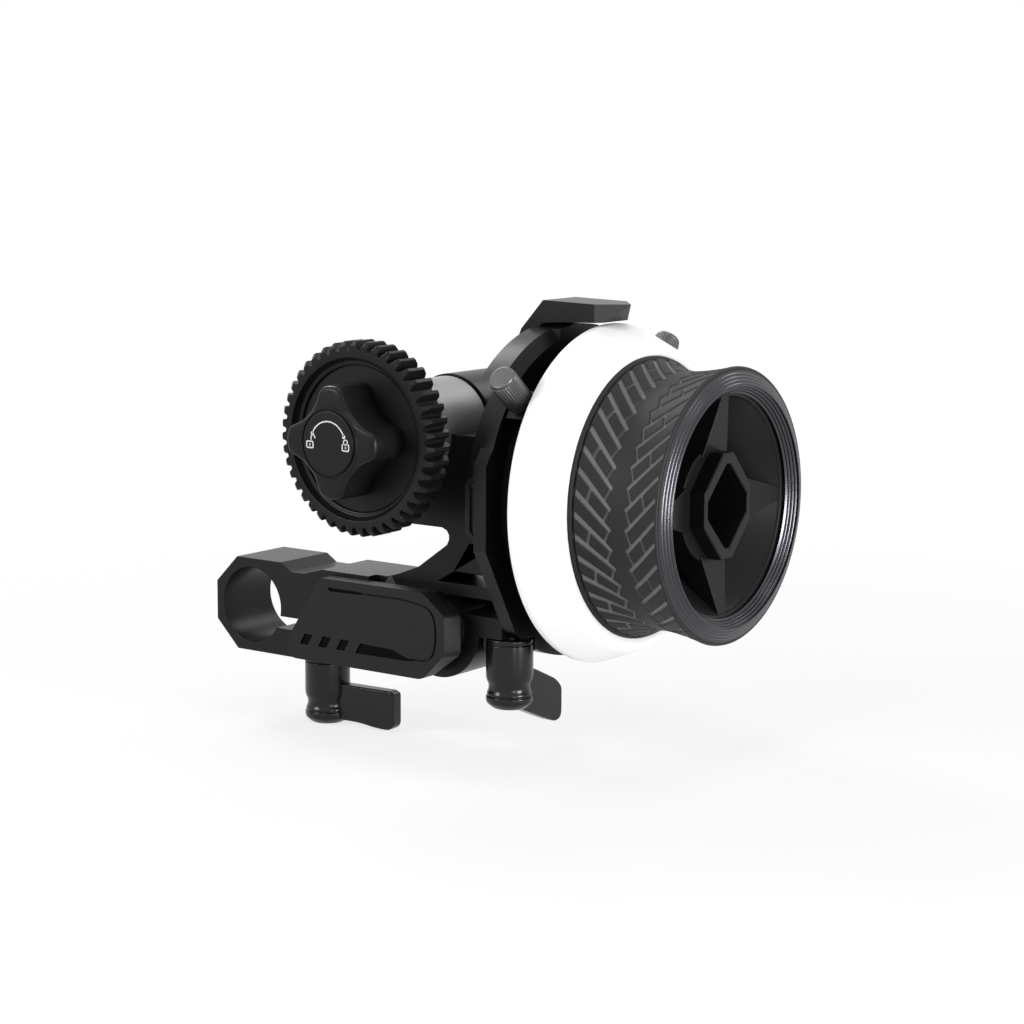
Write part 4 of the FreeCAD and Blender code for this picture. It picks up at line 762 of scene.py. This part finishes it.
def makeCover(look):
    front = look["front"]
    deep = front + look["grooveDepth"]
    points, faces = slabShape("y", roundedOutline(look["outline"], 0), front, look["back"])
    # the straight right-hand side leans out to the back
    points = [(x + look["sideLean"] if x > look["leanFrom"] and y == look["back"] else x, y, z)
              for x, y, z in points]
    cover = addPiece("armCoverRelief", points, faces, coverPlastic, "arm", "cover_plastic", ["arm_cover"])
    fields = [look["bar"], look["block"]]
    top, tall, lean, wide = look["slotTop"], look["slotTall"], look["slotLean"], look["slotWide"]
    for x in look["slots"]:
        fields.append([(x, top - tall), (x + wide, top - tall), (x + wide + lean, top), (x + lean, top)])
    inlays = joinShapes([slabShape("y", field, deep - look["inlay"], deep + look["inlayRoot"])
                         for field in fields])
    addPiece("armCoverInlays", *inlays, inlayGloss, "arm", "cover_plastic")
    for outline in [grooveOutline(look)] + fields:
        carve(cover, *slabShape("y", outline, front - look["reach"], deep))
    shadeSmooth(cover.data, 30)
    roundEdges(cover, look["edge"], 2, 40)


makeCover(coverLook)
print("arm cover")

# housing: an upright web behind the strut closes the corner to the plate
webLook = {
    "outline": [(47.5, 11.4), (57.6, 11.4), (57.6, 17.5), (51.5, 17.5)], "front": -4.2, "back": -2.2,
    "edge": 0.3,
}
web = addPiece("housingCornerWeb", *slabShape("y", webLook["outline"], webLook["front"], webLook["back"]),
               blackAnodised, "gearbox", "black_anodised")
roundEdges(web, webLook["edge"])

# clamp levers: a turned body with a neck above its foot, and a blade that runs off it
leverLook = {
    # depth below the top, radius, rounding: a ring at the top, a waist, a groove above the round foot
    "barrel": [(0, 2.02), (0, 4.45, 0.25), (0.8, 4.45, 0.12), (0.9, 4.23, 0.05), (1.05, 4.23, 0.05),
               (1.15, 4.45, 0.12), (7.7, 4.45, 0.8), (8.8, 3.93, 0.7), (9.7, 3.93, 0.5),
               (10.6, 4.33, 0.4), (10.8, 4.15, 0.05), (10.95, 4.15, 0.05), (11.1, 4.45, 0.15),
               (12.2, 4.45, 0.6), (13.3, 3.25, 0.7), (13.3, 2.9, 0.1), (11.7, 2.9), (11.7, 2.02)],
    "barrelEdge": 0.15, "bladeThick": 2.6, "bladeCorner": 0.5, "bladeEdge": 0.7,
    "rod": {"x": 13.5, "top": -9.5, "turn": 2.0,
            "blade": [(0, -12.7), (8.0, -12.4, 3.0), (12.6, -13.0, 2.0), (15.9, -13.05, 0.9),
                      (17.2, -12.0, 0.8), (17.2, -5.7, 0.6), (16.2, -5.2, 0.5), (0, -5.3)]},
    "swing": {"x": 58.0, "top": -0.4, "turn": 90.0,
              "blade": [(0, -13.0), (3.2, -14.5, 1.5), (10.4, -17.5, 2.0), (13.2, -18.5, 0.8),
                        (14.6, -18.3, 0.8), (15.4, -17.4, 1.0), (15.4, -12.2, 0.8), (14.6, -11.2, 0.8),
                        (13.3, -10.1, 0.8), (6.1, -6.8, 2.0), (0, -5.0)]},
}


def makeLever(name, own, look, body, replaces):
    top = own["top"]
    barrel = [(top - drop, *more) for drop, *more in look["barrel"]]
    turnedPiece(name + "Body", "z", (own["x"], 0.0), barrel, leverAnodised, body, "black_anodised",
                replaces, count=96, edge=look["barrelEdge"])
    flat = [(u, top + v, *more) for u, v, *more in own["blade"]]
    half = look["bladeThick"] / 2
    points, faces = slabShape("y", roundedOutline(flat, look["bladeCorner"], 5), -half, half)
    bend = Matrix.Rotation(math.radians(own["turn"]), 4, "Z")
    points = [tuple(bend @ Vector(p) + Vector((own["x"], 0, 0))) for p in points]
    blade = addPiece(name + "Blade", points, faces, leverAnodised, body, "black_anodised")
    roundEdges(blade, look["bladeEdge"], 4, 50)


makeLever("rodLever", leverLook["rod"], leverLook, "rod_lever", ["rod_lever_handle"])
makeLever("swingLever", leverLook["swing"], leverLook, "swing_lever", ["swing_lever_handle"])
print("clamp levers")

# thumb screws: straight knurl with a plain bevelled cap
thumbLook = {
    "place": 65.0, "flutes": 30, "fluteDepth": 0.16,
    # distance from the wheel's axis, radius between the flutes, share of the flutes' height on top
    "profile": [(25.1, 0.05, 0), (25.1, 1.25, 0), (29.7, 1.25, 0), (29.7, 2.15, 0), (29.95, 2.44, 0),
                (30.1, 2.44, 1), (36.85, 2.44, 1), (37.0, 2.39, 0), (37.1, 2.42, 0), (37.45, 2.4, 0),
                (37.64, 2.3, 0), (37.7, 2.18, 0), (37.7, 2.0, 0), (37.7, 0.05, 0)],
    "left": 140.5, "right": 46.0,
}


def makeThumbScrew(name, look, degrees, body, replaces):
    flutes = look["flutes"]
    angles = evenAngles(flutes * 8)
    wave = [look["fluteDepth"] * abs(math.sin(flutes * a / 2)) for a in angles]
    rings = [[(place, radius + share * w, a) for w, a in zip(wave, angles)]
             for place, radius, share in look["profile"]]
    points, faces = skinRings("y", (look["place"], wheelAxis[1]), rings)
    bend = Matrix.Rotation(math.radians(degrees), 4, "X")
    middle = Vector((0, wheelAxis[0], wheelAxis[1]))
    lifted = [Vector((x, y + wheelAxis[0], z)) for x, y, z in points]
    points = [tuple(bend @ (p - middle) + middle) for p in lifted]
    addPiece(name, points, faces, knurledSteel, body, "bright_steel", replaces, sharpAngle=40)


makeThumbScrew("thumbScrewLeft", thumbLook, thumbLook["left"], "thumb_a", ["thumb_screw_a"])
makeThumbScrew("thumbScrewRight", thumbLook, thumbLook["right"], "thumb_b", ["thumb_screw_b"])
print("thumb screws")

# width of each solid's rounded edges, and the steps across them
edgeLook = {
    "rod_clamp_arm": (0.35, 2), "gearbox_housing": (0.3, 2), "gearbox_end_cap": (0.2, 2),
    "stop_track_ring": (0.2, 2), "stop_block_a": (0.2, 2), "stop_block_b": (0.2, 2),
    "marking_carrier_disc": (0.2, 2), "rod_lever_cap": (0.1, 2), "swing_lever_cap": (0.1, 2),
    "index_hood": (1.0, 5),
}
for node, (width, segments) in edgeLook.items():
    softenSolid(node, width, segments)
print("edges softened")

# camera: a long lens a little above the object's left front
cameraLook = {
    "lens": 87.407, "sensor": 36.0, "nearest": 0.01, "place": (0.325517, -0.367661, 0.095006),
    "right": (0.808583, 0.588365, 0.0045256), "up": (-0.0953600, 0.1234546, 0.9877578),
    "back": (0.5806033, -0.7991156, 0.1559298),
}
camera = linked("camera", bpy.data.cameras.new("camera"))
camera.data.lens = cameraLook["lens"]
camera.data.sensor_width = cameraLook["sensor"]
camera.data.clip_start = cameraLook["nearest"]
turned = Matrix((cameraLook["right"], cameraLook["up"], cameraLook["back"])).transposed()
camera.matrix_world = Matrix.Translation(cameraLook["place"]) @ turned.to_4x4()
bpy.context.scene.camera = camera

# studio: a pale floor that fades into a white surround, soft boxes, a plain level of light
studioLook = {
    "middle": (0.044, 0.012, 0.02), "floorSize": 6.0, "floorGap": 0.0002, "floorColourAndGrooveSheen": "#f6f6f6",
    "fadeFrom": 0.09, "fadeTo": 0.26, "shadowLift": 0.75, "ambient": 0.14,
    # place, width, height, watts
    "lamps": [("high front box", (0.099, -0.301, 0.338), 0.14, 0.14, 0.35),
              ("high left box", (-0.255, 0.121, 0.338), 0.14, 0.14, 0.85),
              ("right box", (0.493, 0.012, 0.055), 0.14, 0.14, 1.9),
              ("front left box", (-0.165, -0.349, 0.189), 0.14, 0.14, 0.9),
              ("top box", (0.122, 0.012, 0.463), 0.14, 0.14, 0.35),
              ("high back box", (0.1, 0.352, 0.31), 0.2, 0.1, 0.2),
              ("front right strip", (0.43, -0.21, 0.03), 0.05, 0.1, 0.35)],
}


# 1 where the camera, a reflection or glass sees the floor or surround, 0 where they only give light
def seenDirectly(tree):
    rays = addNode(tree, "ShaderNodeLightPath")
    shines = addNode(tree, "ShaderNodeMath", {"operation": "MAXIMUM"},
                     {0: rays.outputs["Is Camera Ray"], 1: rays.outputs["Is Glossy Ray"]})
    return addNode(tree, "ShaderNodeMath", {"operation": "MAXIMUM"},
                   {0: shines.outputs[0], 1: rays.outputs["Is Transmission Ray"]}).outputs[0]


def makeFloor(look):
    size = look["floorSize"] / 2
    level = min(cadBox[0][2], cadBox[1][2]) - look["floorGap"]
    corners = [(-size, -size, level), (size, -size, level), (size, size, level), (-size, size, level)]
    mesh = bpy.data.meshes.new("floor")
    mesh.from_pydata(corners, [], [(0, 1, 2, 3)])
    linked("floor", mesh)
    material, tree, position = newFinish("pale floor")
    away = addNode(tree, "ShaderNodeVectorMath", {"operation": "DISTANCE", 1: look["middle"]},
                   {0: position})
    fade = addNode(tree, "ShaderNodeMapRange",
                   {"interpolation_type": "SMOOTHSTEP", "From Min": look["fadeFrom"],
                    "From Max": look["fadeTo"], "To Min": look["shadowLift"]},
                   {"Value": away.outputs["Value"]})
    paint = addNode(tree, "ShaderNodeBsdfDiffuse", {"Color": linear(look["floorColourAndGrooveSheen"])})
    white = addNode(tree, "ShaderNodeEmission", {"Color": linear("#ffffff"), "Strength": 1.0})
    share = addNode(tree, "ShaderNodeMath", {"operation": "MULTIPLY"},
                    {0: seenDirectly(tree), 1: fade.outputs[0]})
    mixed = addNode(tree, "ShaderNodeMixShader", None,
                    {0: share.outputs[0], 1: paint.outputs[0], 2: white.outputs[0]})
    addNode(tree, "ShaderNodeOutputMaterial", None, {"Surface": mixed.outputs[0]})
    mesh.materials.append(material)


def makeSurround(look):
    world = bpy.data.worlds.new("surround")
    bpy.context.scene.world = world
    world.use_nodes = True
    tree = world.node_tree
    tree.nodes.clear()
    strength = addNode(tree, "ShaderNodeMapRange", {"To Min": look["ambient"], "To Max": 1.0},
                       {"Value": seenDirectly(tree)})
    sky = addNode(tree, "ShaderNodeBackground", {"Color": linear("#ffffff")},
                  {"Strength": strength.outputs[0]})
    addNode(tree, "ShaderNodeOutputWorld", None, {"Surface": sky.outputs[0]})


def makeLamps(look):
    for name, place, width, height, watts in look["lamps"]:
        lamp = bpy.data.lights.new(name, "AREA")
        lamp.shape = "RECTANGLE"
        lamp.size = width
        lamp.size_y = height
        lamp.energy = watts
        aim = Vector(look["middle"]) - Vector(place)
        turn = aim.to_track_quat("-Z", "Y").to_matrix().to_4x4()
        linked(name, lamp).matrix_world = Matrix.Translation(place) @ turn


makeFloor(studioLook)
makeSurround(studioLook)
makeLamps(studioLook)
bpy.context.scene.view_settings.view_transform = "Standard"
print("camera, floor and lamps")
